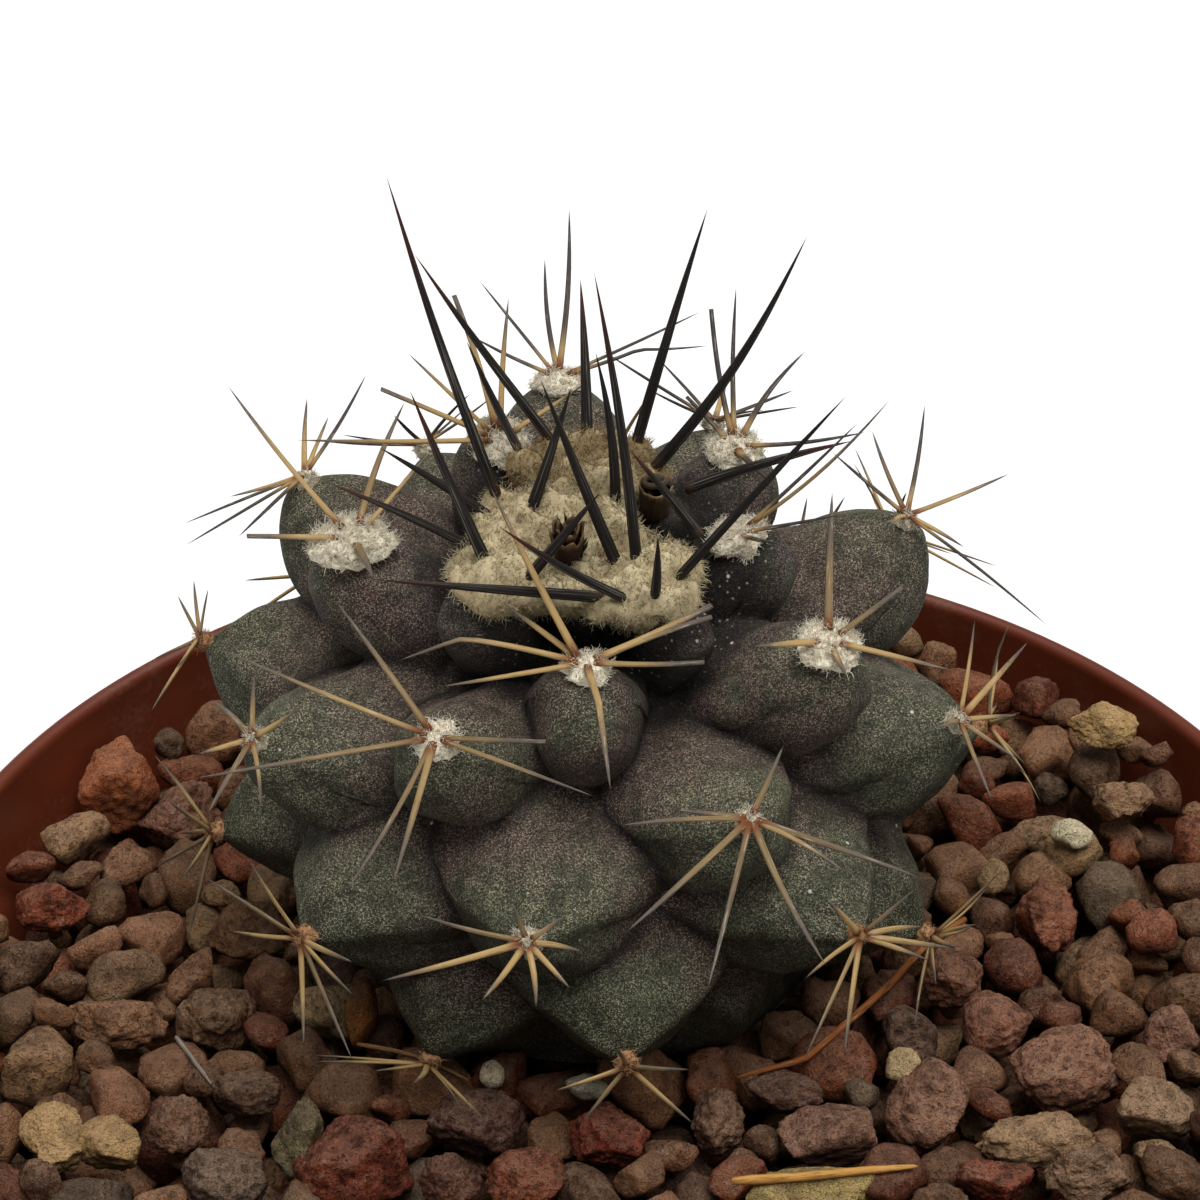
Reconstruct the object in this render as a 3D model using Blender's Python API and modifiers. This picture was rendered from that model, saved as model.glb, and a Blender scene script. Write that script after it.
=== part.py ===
"""A potted copiapoa cactus: one head with a woolly crown and black spines, in gravel, in a round plastic pot.

Metres, +Z up. The origin is the centre of the pot's underside. The side seen in the photo faces -Y.
"""

import math
import random

import bmesh
import bpy
import numpy as np
from mathutils import Matrix, Vector

MM = 0.001

# Pot
POT_HEIGHT = 82 * MM
RIM_RADIUS = 53 * MM
RIM_BAND = 9 * MM
RIM_STEP = 1.4 * MM
BASE_RADIUS = 38 * MM
WALL = 1.3 * MM
LIP = 0.45 * MM
FOOT_EDGE = 0.5 * MM
FLOOR_LIFT = 3 * MM
FOOT_WIDTH = 4 * MM
POT_STEPS = 40
DRAIN_HOLES = 6
DRAIN_RADIUS = 3.5 * MM
DRAIN_SIDES = 10
DRAIN_RING = 24 * MM

# Gravel
FILL_BELOW_RIM = 11.5 * MM
GAP = 0.35 * MM
STONE_COUNT = 130
STONE_SIZES = (4.2 * MM, 5.4 * MM)
STONE_LIFTS = (-0.6 * MM, 1.0 * MM)
STONE_CORNERS = (0.75, 1.2)
STONE_TIP = math.radians(25)
STONE_ANGLE = math.radians(137.508)
STONE_STRAY = 0.05
OUTWARD_PUSH = 1.05
UNDER_PLANT = 0.85
STONE_SEED = 11
SOCKET_TOP = math.radians(20)
SOCKET_STEPS = 12

# Plant: the tips of the tubercles lie on a spheroid, and their order round it is the golden-angle spiral
PLANT_CENTRE = Vector((-2.3, 13.2, 89.0)) * MM
PLANT_LEAN = (math.radians(9.3), math.radians(1.3))
TIP_RADIUS = 30 * MM
TIP_HEIGHT = 21.8 * MM
GOLDEN_ANGLE = math.radians(137.45)
FIRST_AZIMUTH = math.radians(-56)
POLAR_RATE = math.radians(2.45)
POLAR_START = 4.74
POLAR_POWER = 1.075
FIRST_TUBERCLE = -4
LAST_TUBERCLE = 36
# Young tubercles are round knobs that bulge below their areole, and old ones are broad cones
YOUNG = {"drop": math.radians(5), "roundness": 2.5, "depth": 0.33}
OLD = {"drop": math.radians(1), "roundness": 1.05, "depth": 0.2}
OLD_POLAR = math.radians(75)
DEEPEST = 0.35
POLE_SINE = 0.12
# Where the grown plant strays from the rule: turn and drop in degrees, and reach
STRAY = {
    0: (0, 4, 1), 3: (0, -2, 1), 4: (-7, 0, 1.02), 5: (-5, 0, 1), 7: (-4, 0, 1.05), 8: (3, -1, 1.06),
    9: (-2, 0, 1.08), 11: (0, 0, 1.08), 12: (0, 0, 1.08), 13: (4, 0, 1), 15: (3, 1, 1.03), 16: (-2, 0, 1.01),
    18: (3, 0, 1), 20: (0, 0, 1.03), 21: (-3, 0, 1), 23: (3, 0, 1), 26: (-3, 0, 1),
}
CROWN_SEAT = 19.6 * MM
# Radius and height of the neck and tap root, from the collar down
ROOT_PROFILE = ((21, -13.8), (15.5, -19), (10.5, -23.5), (8, -29), (6, -37), (0, -38.5))
COLLAR_POLAR = math.radians(128)
COLLAR_BLEND = math.radians(16)
COLLAR_ON_BALL = math.radians(146)
BODY_DETAIL = 5

# Areoles: radius of the felt pad, which is broad on the youngest tubercles
FIRST_AREOLE = 3
LAST_AREOLE = 31
AREOLE_SPAN = 0.06
PAD_RADII = {3: 2.3, 4: 2.3, 5: 1.7, 6: 2.2, 7: 3.0, 8: 2.4, 9: 2.0, 10: 1.6}
OLD_PAD_RADIUS = 1.1
PAD_HEIGHT = 1.0 * MM

# Spines of the areoles seen from the front: clock hour with the crown at twelve, splay from the areole's
# own axis in degrees, length in millimetres
SPINES = {
    3: ((6.8, 75, 8.5), (5.3, 68, 11), (5.7, 62, 14), (9.5, 70, 6), (2.0, 70, 6)),
    4: ((3.3, 70, 17), (4.3, 70, 9), (5.1, 65, 8.5), (7.1, 60, 10), (6.3, 62, 10.5), (9.0, 70, 7)),
    5: (
        (11.5, 65, 13), (10.2, 70, 6.5), (8.8, 80, 12.5), (7.7, 80, 11), (1.3, 75, 9),
        (2.3, 75, 8.5), (3.3, 80, 7.5), (5.6, 85, 11.5),
    ),
    6: ((4.7, 62, 12), (4.3, 52, 10), (6.0, 65, 8.5), (3.1, 65, 4.5), (8.1, 72, 9.5), (10.0, 70, 7)),
    7: ((7.6, 65, 14), (10.2, 66, 7.5), (9.6, 70, 11), (5.6, 78, 6.5), (2.5, 75, 6)),
    8: ((1.9, 60, 10), (3.8, 65, 5.5), (5.8, 78, 8), (10.0, 75, 5.5), (7.5, 80, 3.5)),
    9: ((6.4, 60, 16), (6.1, 66, 12), (5.1, 68, 11), (4.0, 72, 7), (8.9, 70, 12), (8.5, 75, 12)),
    10: (
        (9.7, 65, 11), (8.5, 68, 15), (7.3, 75, 16), (5.6, 80, 14), (5.2, 78, 13),
        (3.2, 72, 14), (2.6, 72, 8),
    ),
    11: (
        (3.7, 65, 10), (2.6, 68, 7), (8.6, 80, 16), (8.1, 80, 5), (1.0, 70, 7),
        (10.5, 75, 5), (5.5, 70, 9),
    ),
    12: (
        (4.3, 80, 5.5), (3.8, 80, 10), (3.3, 82, 12), (2.8, 85, 9.5), (8.2, 68, 7.5),
        (9.3, 70, 9.5), (8.8, 72, 5.5),
    ),
    13: (
        (9.3, 75, 9.5), (9.7, 82, 5), (8.2, 78, 13), (7.3, 78, 13.5), (6.1, 75, 11.5),
        (4.6, 70, 11.5), (4.9, 76, 7), (1.5, 75, 5),
    ),
    15: ((6.6, 70, 3.5), (3.3, 72, 8), (4.4, 68, 7), (8.7, 72, 4), (10.5, 70, 4), (1.0, 72, 5)),
    16: ((2.1, 68, 7), (3.3, 65, 8), (8.4, 70, 8.5), (6.8, 62, 4.5), (4.8, 62, 4), (10.0, 72, 5)),
    18: (
        (8.3, 70, 9.5), (9.3, 72, 7), (7.0, 70, 4.5), (5.4, 70, 4), (4.2, 70, 4),
        (3.0, 74, 3.5), (1.6, 74, 3), (11.2, 64, 2.5),
    ),
    20: ((9.5, 62, 4.5), (8.4, 62, 5), (3.2, 82, 8), (2.4, 80, 6), (5.8, 62, 4), (11.5, 70, 4)),
    21: (
        (2.1, 68, 4.5), (3.4, 66, 4), (4.0, 70, 6.5), (4.4, 72, 5), (9.2, 72, 6.5),
        (8.1, 75, 9.5), (7.5, 70, 8), (10.9, 72, 5.5),
    ),
    23: (
        (9.5, 68, 7.5), (8.4, 68, 5), (10.8, 68, 6.5), (4.7, 70, 7), (3.5, 70, 10),
        (2.8, 74, 7), (2.2, 76, 6.5),
    ),
    26: ((4.1, 60, 5.5), (7.5, 66, 4.5), (9.0, 70, 5), (2.5, 70, 4), (11.5, 66, 3.5)),
}
SPINE_RADIUS = 0.45 * MM
SPINE_RING = 0.35
SPINE_SEAT = 0.45
# The star of spines on an areole that is out of sight in the photo: clock noise, splay in degrees and
# length in millimetres, which is greater on the young ones
STAR_SPINES = 7
STAR_NOISE = 0.3
STAR_SPLAYS = (64, 78)
STAR_LENGTHS = (5, 8.5)
STAR_YOUTH = (24, 4.5)
STAR_SEED = 5
# What a spine keeps off, and how far it is turned at each try until it does
KEEP_OFF = 0.95 * MM
FREE_FROM = 2.6 * MM
TRIES = 12
HOUR_STEP = 0.25
SPLAY_STEP = 5
LEAST_SPLAY = 5

# Wool of the growing point: how far it reaches, and its lumps of x, y, radius and height in millimetres,
# standing on the flat crown
WOOL_REACH = 11.5 * MM
WOOL_TOP = 4 * MM
WOOL_LUMPS = (
    (0, 0.5, 7.6, 2.3), (-7.4, -5.8, 3.3, 2.3), (3.8, -7.6, 3.6, 2.5), (-1.8, -6, 3.4, 1.7),
    (0.6, 3.6, 3.6, 3.4), (1.2, 8, 3, 2.4), (-5.4, 0.8, 3.2, 3), (4.6, 1, 3, 2.9), (-3.2, 6.6, 3, 2.5),
    (5.6, -3.6, 2.6, 2.4),
)
# Black spines of the growing point: x and y of the root, azimuth, lean from the plant's axis, length
CROWN_SPINES = (
    (-7.2, 1.8, 145, 26, 25), (-3.5, 9, 160, 38, 17.5), (-7.4, -6.4, 145, 28, 14.5),
    (-5.3, -1, 60, 36, 10.5), (2.6, -5.7, 130, 14, 22.5), (0.6, -5.3, 150, 27, 13),
    (1.1, 0.6, 120, 16, 12.5), (2.5, 8.4, 40, 22, 18), (3.6, 5.6, 20, 34, 20), (4.9, -7, 0, 33, 19.5),
    (-5.2, -7, 10, 35, 9), (2.2, -8.8, -165, 48, 12.5), (0.4, -8.4, -160, 70, 17), (3.7, -9, -92, 18, 8.5),
    (6.2, 3.8, -10, 62, 13), (7, -1.5, 155, 45, 8), (-8.2, -3.8, 170, 68, 11.5), (-7.6, 0, 165, 62, 9.5),
    (-1, 9.5, 95, 45, 12), (-5.5, 6.6, 125, 52, 10),
)
CROWN_SPINE_RADIUS = 0.62 * MM
STOUT_SHARE = 0.55
STOUT_TAPER = 0.75
CROWN_SPINE_ROOT = 1.0 * MM
FLOWER_PLACE = (-2.6 * MM, -2.2 * MM)
FLOWER_RADII = (0.8 * MM, 1.25 * MM)
FLOWER_HEIGHT = 5.4 * MM
FLOWER_CUP = 1.2 * MM
FLOWER_WALL = 0.35 * MM
FLOWER_SIDES = 8


def tubercle_polar(k):
    """Angle from the plant's axis to tubercle k, which grows steadily down the spiral."""
    return POLAR_RATE * (k + POLAR_START) ** POLAR_POWER


def tubercle_direction(k, drop=0.0):
    """Unit vector to tubercle k in the plant's rounded space, where the tips lie on a unit sphere."""
    turn, stray_drop, _ = STRAY.get(k, (0, 0, 1))
    polar = max(tubercle_polar(k) + drop + math.radians(stray_drop), 0.0)
    azimuth = FIRST_AZIMUTH + GOLDEN_ANGLE * k + math.radians(turn)
    return np.array(
        (
            math.sin(polar) * math.cos(azimuth),
            math.sin(polar) * math.sin(azimuth),
            math.cos(polar),
        )
    )


def tubercle_width(k):
    """Angular spacing of the tubercles round k: the root of the share of the sphere that each one has."""
    polar = tubercle_polar(k)
    rate = POLAR_RATE * POLAR_POWER * (k + POLAR_START) ** (POLAR_POWER - 1)
    return math.sqrt(2 * math.pi * max(math.sin(polar), POLE_SINE) * rate)


def by_age(name, k):
    """A value of tubercle k between the youngest one's and that of the old ones."""
    age = min(tubercle_polar(k) / OLD_POLAR, 1)
    return YOUNG[name] + (OLD[name] - YOUNG[name]) * age


TUBERCLES = range(FIRST_TUBERCLE, LAST_TUBERCLE + 1)
CHINS = np.array([tubercle_direction(k, by_age("drop", k)) for k in TUBERCLES])
HALF_WIDTHS = np.array([tubercle_width(k) / 2 for k in TUBERCLES])
ROUNDNESS = np.array([by_age("roundness", k) for k in TUBERCLES])
DEPTH = np.array([by_age("depth", k) for k in TUBERCLES])
REACH = np.array([STRAY.get(k, (0, 0, 1))[2] for k in TUBERCLES])
SPHEROID = np.array((TIP_RADIUS, TIP_RADIUS, TIP_HEIGHT))


def skin_reach(directions):
    """How far out the skin lies in the rounded space: 1 at the tips and less in the valleys between them."""
    near = np.arccos(np.clip(directions @ CHINS.T, -1, 1))
    reach = REACH - DEPTH * (near / HALF_WIDTHS) ** ROUNDNESS
    return np.maximum(reach.max(axis=1), 1 - DEEPEST)


def body_points(directions):
    """Points of the skin for unit vectors in the rounded space, flat under the wool, with neck and root."""
    polar = np.arccos(np.clip(directions[:, 2], -1, 1))
    points = directions * skin_reach(directions)[:, None] * SPHEROID
    points[:, 2] = np.minimum(points[:, 2], CROWN_SEAT)
    share = np.clip((polar - COLLAR_POLAR) / (math.pi - COLLAR_POLAR), 0, 1)
    stops = np.linspace(0, 1, len(ROOT_PROFILE))
    radius = np.interp(share, stops, [r * MM for r, _ in ROOT_PROFILE])
    height = np.interp(share, stops, [z * MM for _, z in ROOT_PROFILE])
    azimuth = np.arctan2(directions[:, 1], directions[:, 0])
    root = np.stack((radius * np.cos(azimuth), radius * np.sin(azimuth), height), axis=1)
    mix = np.clip((polar - COLLAR_POLAR + COLLAR_BLEND) / COLLAR_BLEND, 0, 1)
    mix = (mix * mix * (3 - 2 * mix))[:, None]
    return points * (1 - mix) + root * mix


def areole_frame(k):
    """Seat, outward axis and directions to the crown and three o'clock of areole k, in the plant's frame."""
    centre = tubercle_direction(k)
    east = np.cross((0, 0, 1), centre)
    east /= np.linalg.norm(east)
    north = np.cross(centre, east)
    ring = np.array([centre + AREOLE_SPAN * side for side in (east, -east, north, -north)])
    ring /= np.linalg.norm(ring, axis=1)[:, None]
    around = body_points(ring)
    outward = np.cross(around[0] - around[1], around[2] - around[3])
    outward = Vector(outward).normalized()
    seat = Vector(body_points(centre[None])[0])
    to_apex = Vector((0, 0, 1.5 * TIP_HEIGHT)) - seat
    crownward = (to_apex - outward * to_apex.dot(outward)).normalized()
    return seat, outward, crownward, crownward.cross(outward)


def new_material(name, colour, roughness):
    material = bpy.data.materials.new(name)
    material.use_nodes = True
    shader = material.node_tree.nodes["Principled BSDF"]
    shader.inputs["Base Color"].default_value = (*colour, 1)
    shader.inputs["Roughness"].default_value = roughness
    material.diffuse_color = (*colour, 1)
    return material


def new_object(name, mesh, collection, material=None):
    obj = bpy.data.objects.new(name, mesh)
    collection.objects.link(obj)
    if material:
        mesh.materials.append(material)
    return obj


def mesh_from(bm, name):
    mesh = bpy.data.meshes.new(name)
    bm.to_mesh(mesh)
    bm.free()
    return mesh


def turned(name, profile, steps, collection, material=None, smooth=False):
    """A profile of (radius, height), from the axis up the inside and down the outside, turned about Z."""
    bm = bmesh.new()
    points = [bm.verts.new((r, 0, z)) for r, z in profile]
    for start, end in zip(points, points[1:]):
        bm.edges.new((start, end))
    obj = new_object(name, mesh_from(bm, name), collection, material)
    screw = obj.modifiers.new("Turn", "SCREW")
    screw.steps = screw.render_steps = steps
    screw.use_smooth_shade = smooth
    screw.use_merge_vertices = True
    screw.merge_threshold = 1e-5
    return obj


def evaluated_mesh(obj):
    graph = bpy.context.evaluated_depsgraph_get()
    return bpy.data.meshes.new_from_object(obj.evaluated_get(graph))


def keep_outer_shell(mesh):
    """Fills the hollows that a union seals and drops loose scraps, by keeping only the largest shell."""
    bm = bmesh.new()
    bm.from_mesh(mesh)
    unseen = set(bm.verts)
    shells = []
    while unseen:
        front = [unseen.pop()]
        shell = list(front)
        while front:
            around = {edge.other_vert(vert) for vert in front for edge in vert.link_edges} & unseen
            unseen -= around
            front = list(around)
            shell += front
        shells.append(shell)
    shells.sort(key=lambda shell: max(v.co.z for v in shell) - min(v.co.z for v in shell))
    for shell in shells[:-1]:
        bmesh.ops.delete(bm, geom=shell, context="VERTS")
    bm.to_mesh(mesh)
    bm.free()


def join(obj, pieces, operation="UNION"):
    """Joins a collection's solids to obj, or cuts them from it, applies that and removes them."""
    boolean = obj.modifiers.new("Join", "BOOLEAN")
    boolean.operand_type = "COLLECTION"
    boolean.collection = pieces
    boolean.operation = operation
    boolean.solver = "EXACT"
    mesh = evaluated_mesh(obj)
    keep_outer_shell(mesh)
    obj.modifiers.clear()
    obj.data = mesh
    for piece in list(pieces.objects):
        bpy.data.objects.remove(piece)
    bpy.data.collections.remove(pieces)


def new_collection(name):
    collection = bpy.data.collections.new(name)
    bpy.context.scene.collection.children.link(collection)
    return collection


def needle(name, root, way, radius, collection, stout=False):
    """A three-sided spine. A stout one keeps most of its width for a while and is then drawn to its point."""
    length = way.length
    shaft = STOUT_SHARE * length if stout else length
    end_radius = STOUT_TAPER * radius if stout else 0
    bm = bmesh.new()
    radii = {"radius1": radius, "radius2": end_radius}
    bmesh.ops.create_cone(bm, cap_ends=True, segments=3, depth=shaft, **radii)
    if stout:
        top = max(bm.faces, key=lambda face: face.calc_center_median().z)
        point = bmesh.ops.poke(bm, faces=[top])["verts"][0]
        point.co.z = length - shaft / 2
    else:
        bmesh.ops.remove_doubles(bm, verts=bm.verts, dist=1e-6)
    bmesh.ops.translate(bm, verts=bm.verts, vec=(0, 0, shaft / 2))
    obj = new_object(name, mesh_from(bm, name), collection)
    obj.location = root
    obj.rotation_mode = "QUATERNION"
    obj.rotation_quaternion = way.to_track_quat("Z", "Y")
    return obj


def cushion(name, centre, axis, radius, height, detail, collection):
    """A felt pad: the upper half of a flattened ball."""
    bm = bmesh.new()
    bmesh.ops.create_icosphere(bm, subdivisions=detail, radius=1)
    bmesh.ops.scale(bm, verts=bm.verts, vec=(radius, radius, height))
    geometry = bm.verts[:] + bm.edges[:] + bm.faces[:]
    cut = bmesh.ops.bisect_plane(bm, geom=geometry, plane_no=(0, 0, -1), clear_outer=True)
    rim = [edge for edge in cut["geom_cut"] if isinstance(edge, bmesh.types.BMEdge)]
    bmesh.ops.contextual_create(bm, geom=rim)
    bmesh.ops.recalc_face_normals(bm, faces=bm.faces)
    obj = new_object(name, mesh_from(bm, name), collection)
    obj.location = centre
    obj.rotation_mode = "QUATERNION"
    obj.rotation_quaternion = Vector(axis).to_track_quat("Z", "Y")
    return obj


def place_on_plant(obj):
    """Moves an object built in the plant's own frame to where the plant stands and leans."""
    obj.matrix_world = plant_matrix() @ obj.matrix_world


def plant_matrix():
    lean = Matrix.Rotation(PLANT_LEAN[1], 4, "Y") @ Matrix.Rotation(PLANT_LEAN[0], 4, "X")
    return Matrix.Translation(PLANT_CENTRE) @ lean


def wall_radius(height):
    """Outer radius of the pot's tapered wall under the rim band."""
    return BASE_RADIUS + (RIM_RADIUS - RIM_STEP - BASE_RADIUS) * height / (POT_HEIGHT - RIM_BAND)


def make_pot(collection, material):
    band = POT_HEIGHT - RIM_BAND
    floor = FLOOR_LIFT + WALL
    profile = [
        (0, floor),
        (wall_radius(floor) - WALL, floor),
        (wall_radius(band) - WALL, band),
        (RIM_RADIUS - 2 * LIP - WALL / 2, POT_HEIGHT - LIP),
        (RIM_RADIUS - LIP - WALL / 2, POT_HEIGHT),
        (RIM_RADIUS - LIP, POT_HEIGHT),
        (RIM_RADIUS, POT_HEIGHT - LIP),
        (RIM_RADIUS - LIP / 2, band),
        (wall_radius(band), band - LIP),
        (wall_radius(2 * FOOT_EDGE), 2 * FOOT_EDGE),
        (BASE_RADIUS - FOOT_EDGE, 0),
        (BASE_RADIUS - FOOT_WIDTH, 0),
        (BASE_RADIUS - FOOT_WIDTH - FOOT_EDGE, FLOOR_LIFT),
        (0, FLOOR_LIFT),
    ]
    pot = turned("pot", profile, POT_STEPS, collection, material, smooth=True)
    drills = new_collection("drills")
    for i in range(DRAIN_HOLES):
        bm = bmesh.new()
        radii = {"radius1": DRAIN_RADIUS, "radius2": DRAIN_RADIUS}
        bmesh.ops.create_cone(bm, cap_ends=True, segments=DRAIN_SIDES, depth=4 * WALL, **radii)
        drill = new_object(f"drill_{i}", mesh_from(bm, "drill"), drills)
        turn = 2 * math.pi * (i + 0.5) / DRAIN_HOLES
        drill.location = (DRAIN_RING * math.cos(turn), DRAIN_RING * math.sin(turn), FLOOR_LIFT + WALL / 2)
    join(pot, drills, "DIFFERENCE")
    return pot


def stone_places():
    """Seeded places of the top stones: a sunflower spiral over the pot's mouth, each turned a little."""
    draw = random.Random(STONE_SEED)
    level = POT_HEIGHT - FILL_BELOW_RIM
    reach = wall_radius(level) - WALL - GAP
    places = []
    for i in range(STONE_COUNT):
        size = draw.uniform(*STONE_SIZES)
        radius = (reach - size) * min(OUTWARD_PUSH * math.sqrt((i + 0.5) / STONE_COUNT), 1)
        turn = STONE_ANGLE * i + draw.uniform(-STONE_STRAY, STONE_STRAY)
        height = level + draw.uniform(*STONE_LIFTS)
        places.append((Vector((radius * math.cos(turn), radius * math.sin(turn), height)), size))
    return places


def stone(name, place, size, draw, collection):
    """A crushed stone: a block with its corners pushed about, turned any way and tipped a little."""
    bm = bmesh.new()
    bmesh.ops.create_cube(bm, size=1)
    for vert in bm.verts:
        vert.co = [co * draw.uniform(*STONE_CORNERS) for co in vert.co]
    bmesh.ops.triangulate(bm, faces=bm.faces)
    turn = Matrix.Rotation(draw.uniform(0, math.pi), 3, "Z")
    tip = Matrix.Rotation(draw.uniform(-STONE_TIP, STONE_TIP), 3, "X")
    roll = Matrix.Rotation(draw.uniform(-STONE_TIP, STONE_TIP), 3, "Y")
    bmesh.ops.transform(bm, matrix=(turn @ tip @ roll).to_4x4(), verts=bm.verts)
    widest = max(vert.co.xy.length for vert in bm.verts)
    bmesh.ops.scale(bm, verts=bm.verts, vec=[size / widest] * 3)
    obj = new_object(name, mesh_from(bm, name), collection)
    obj.location = place


def make_gravel(collection, material):
    level = POT_HEIGHT - FILL_BELOW_RIM
    floor = FLOOR_LIFT + WALL + GAP
    profile = [
        (0, level),
        (wall_radius(level) - WALL - GAP, level),
        (wall_radius(floor) - WALL - GAP, floor),
        (0, floor),
    ]
    bed = turned("gravel_bed", profile, POT_STEPS, collection, material)
    stones = new_collection("stones")
    draw = random.Random(STONE_SEED)
    lean = plant_matrix().inverted()
    for i, (place, size) in enumerate(stone_places()):
        own = lean @ place
        if np.linalg.norm(np.array(own) / SPHEROID) > UNDER_PLANT and own.xy.length > TIP_RADIUS / 2:
            stone(f"stone_{i}", place, size, draw, stones)
    bpy.context.view_layer.update()
    join(bed, stones)
    cutters = new_collection("cutters")
    socket = [(0, 1.5 * TIP_HEIGHT)]
    for polar in np.linspace(SOCKET_TOP, COLLAR_POLAR - COLLAR_BLEND / 2, SOCKET_STEPS):
        socket.append(((TIP_RADIUS + GAP) * math.sin(polar), (TIP_HEIGHT + GAP) * math.cos(polar)))
    socket += [(r * MM + 2 * GAP, z * MM - GAP) for r, z in ROOT_PROFILE[1:-1]]
    socket += [(0, ROOT_PROFILE[-1][1] * MM - 2 * GAP)]
    hole = turned("root_hole", socket, POT_STEPS, cutters)
    place_on_plant(hole)
    bpy.context.view_layer.update()
    join(bed, cutters, "DIFFERENCE")
    return bed


def body_directions(bm):
    """Directions of a ball's points, with few of them on the root and one on each tubercle's tip."""
    ball = np.array([vert.co.normalized() for vert in bm.verts])
    polar = np.arccos(np.clip(ball[:, 2], -1, 1))
    polar = np.interp(polar, (0, COLLAR_ON_BALL, math.pi), (0, COLLAR_POLAR, math.pi))
    azimuth = np.arctan2(ball[:, 1], ball[:, 0])
    flat = np.sin(polar)
    directions = np.stack((flat * np.cos(azimuth), flat * np.sin(azimuth), np.cos(polar)), axis=1)
    for k in range(FIRST_AREOLE, LAST_TUBERCLE):
        tip = tubercle_direction(k)
        directions[np.argmax(directions @ tip)] = tip
    return directions


def make_body(collection, material):
    bm = bmesh.new()
    bmesh.ops.create_icosphere(bm, subdivisions=BODY_DETAIL, radius=1)
    for vert, point in zip(bm.verts, body_points(body_directions(bm))):
        vert.co = point
    body = new_object("cactus_body", mesh_from(bm, "cactus_body"), collection, material)
    place_on_plant(body)
    return body


def spine_direction(frame, hour, splay):
    """Direction of a spine at a clock position seen from outside, with the crown at twelve."""
    _, outward, crownward, three = frame
    turn = math.radians(30 * hour)
    flat = crownward * math.cos(turn) + three * math.sin(turn)
    tilt = math.radians(splay)
    return outward * math.cos(tilt) + flat * math.sin(tilt)


def spines_of(k):
    """The spines of areole k: those listed, or for an areole that is out of sight a star of them by rule."""
    if k in SPINES:
        return SPINES[k]
    draw = random.Random(STAR_SEED + k)
    last_young, added = STAR_YOUTH
    extra = added * max(0.0, 1 - k / last_young)
    spines = []
    for i in range(STAR_SPINES):
        hour = 12 * (i + 0.4 + draw.uniform(-STAR_NOISE, STAR_NOISE)) / STAR_SPINES
        spines.append((hour, draw.uniform(*STAR_SPLAYS), draw.uniform(*STAR_LENGTHS) + extra))
    return spines


def gaps_to_segments(points, segments):
    """Distance from each point to each straight segment."""
    starts = np.array([a for a, _ in segments])
    runs = np.array([b for _, b in segments]) - starts
    offsets = points[:, None] - starts
    share = np.clip((offsets * runs).sum(axis=2) / (runs * runs).sum(axis=1), 0, 1)
    return np.linalg.norm(offsets - share[..., None] * runs, axis=2)


def is_clear(root, tip, others):
    """Whether a spine stays off the skin, the crown's wool, the gravel and the spines and pads around it."""
    points = np.array([root.lerp(tip, share) for share in np.linspace(0.1, 1, 19)])
    if others and gaps_to_segments(points, others).min() < KEEP_OFF:
        return False
    away = points[np.linalg.norm(points - np.array(root), axis=1) > FREE_FROM]
    rounded = away / SPHEROID
    reach = np.linalg.norm(rounded, axis=1)
    if (reach < skin_reach(rounded / reach[:, None]) + KEEP_OFF / TIP_RADIUS).any():
        return False
    in_wool = (np.hypot(away[:, 0], away[:, 1]) < WOOL_REACH) & (away[:, 2] < CROWN_SEAT + WOOL_TOP)
    low = POT_HEIGHT - FILL_BELOW_RIM + STONE_SIZES[1] + KEEP_OFF
    return not in_wool.any() and (plant_matrix() @ tip).z > low


def bent_clear(frame, centre, width, spine, others):
    """Root and tip of a spine, turned as little as it needs to clear what is round it, or None."""
    hour, splay, length = spine
    for step in range(TRIES):
        for turn, lift in ((0, 1), (1, 0), (-1, 0), (1, 1), (-1, 1)):
            way = (hour + HOUR_STEP * step * turn, max(splay - SPLAY_STEP * step * lift, LEAST_SPLAY))
            root = centre + spine_direction(frame, way[0], 90) * SPINE_RING * width
            tip = root + spine_direction(frame, *way) * length * MM
            if is_clear(root, tip, others):
                return root, tip
    return None


def pad_radius(k):
    return PAD_RADII.get(k, OLD_PAD_RADIUS) * MM


def crown_segments():
    """Root and tip of each black spine of the growing point."""
    segments = []
    for x, y, azimuth, lean, length in CROWN_SPINES:
        turn = math.radians(azimuth)
        tilt = math.radians(lean)
        root = Vector((x * MM, y * MM, CROWN_SEAT + CROWN_SPINE_ROOT))
        way = Vector((math.sin(tilt) * math.cos(turn), math.sin(tilt) * math.sin(turn), math.cos(tilt)))
        segments.append((root, root + way * length * MM))
    return segments


def areole_segments():
    """Root and tip of the spines of every areole, each bent clear of the crown's and of the earlier ones."""
    frames = {k: areole_frame(k) for k in range(FIRST_AREOLE, LAST_AREOLE + 1)}
    crown = [(np.array(root), np.array(tip)) for root, tip in crown_segments()]
    pads = {}
    for k, frame in frames.items():
        pads[k] = frame[0] + frame[1] * (GAP + SPINE_SEAT * PAD_HEIGHT)
    placed = {}
    for k, frame in frames.items():
        others = list(crown)
        for other, segments in placed.items():
            others += [(np.array(root), np.array(tip)) for root, tip in segments]
        for other, seat in pads.items():
            if other != k:
                reach = frames[other][3] * pad_radius(other)
                others.append((np.array(seat - reach), np.array(seat + reach)))
        placed[k] = []
        for spine in spines_of(k):
            segment = bent_clear(frame, pads[k], pad_radius(k), spine, others)
            if segment:
                placed[k].append(segment)
    return placed


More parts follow.
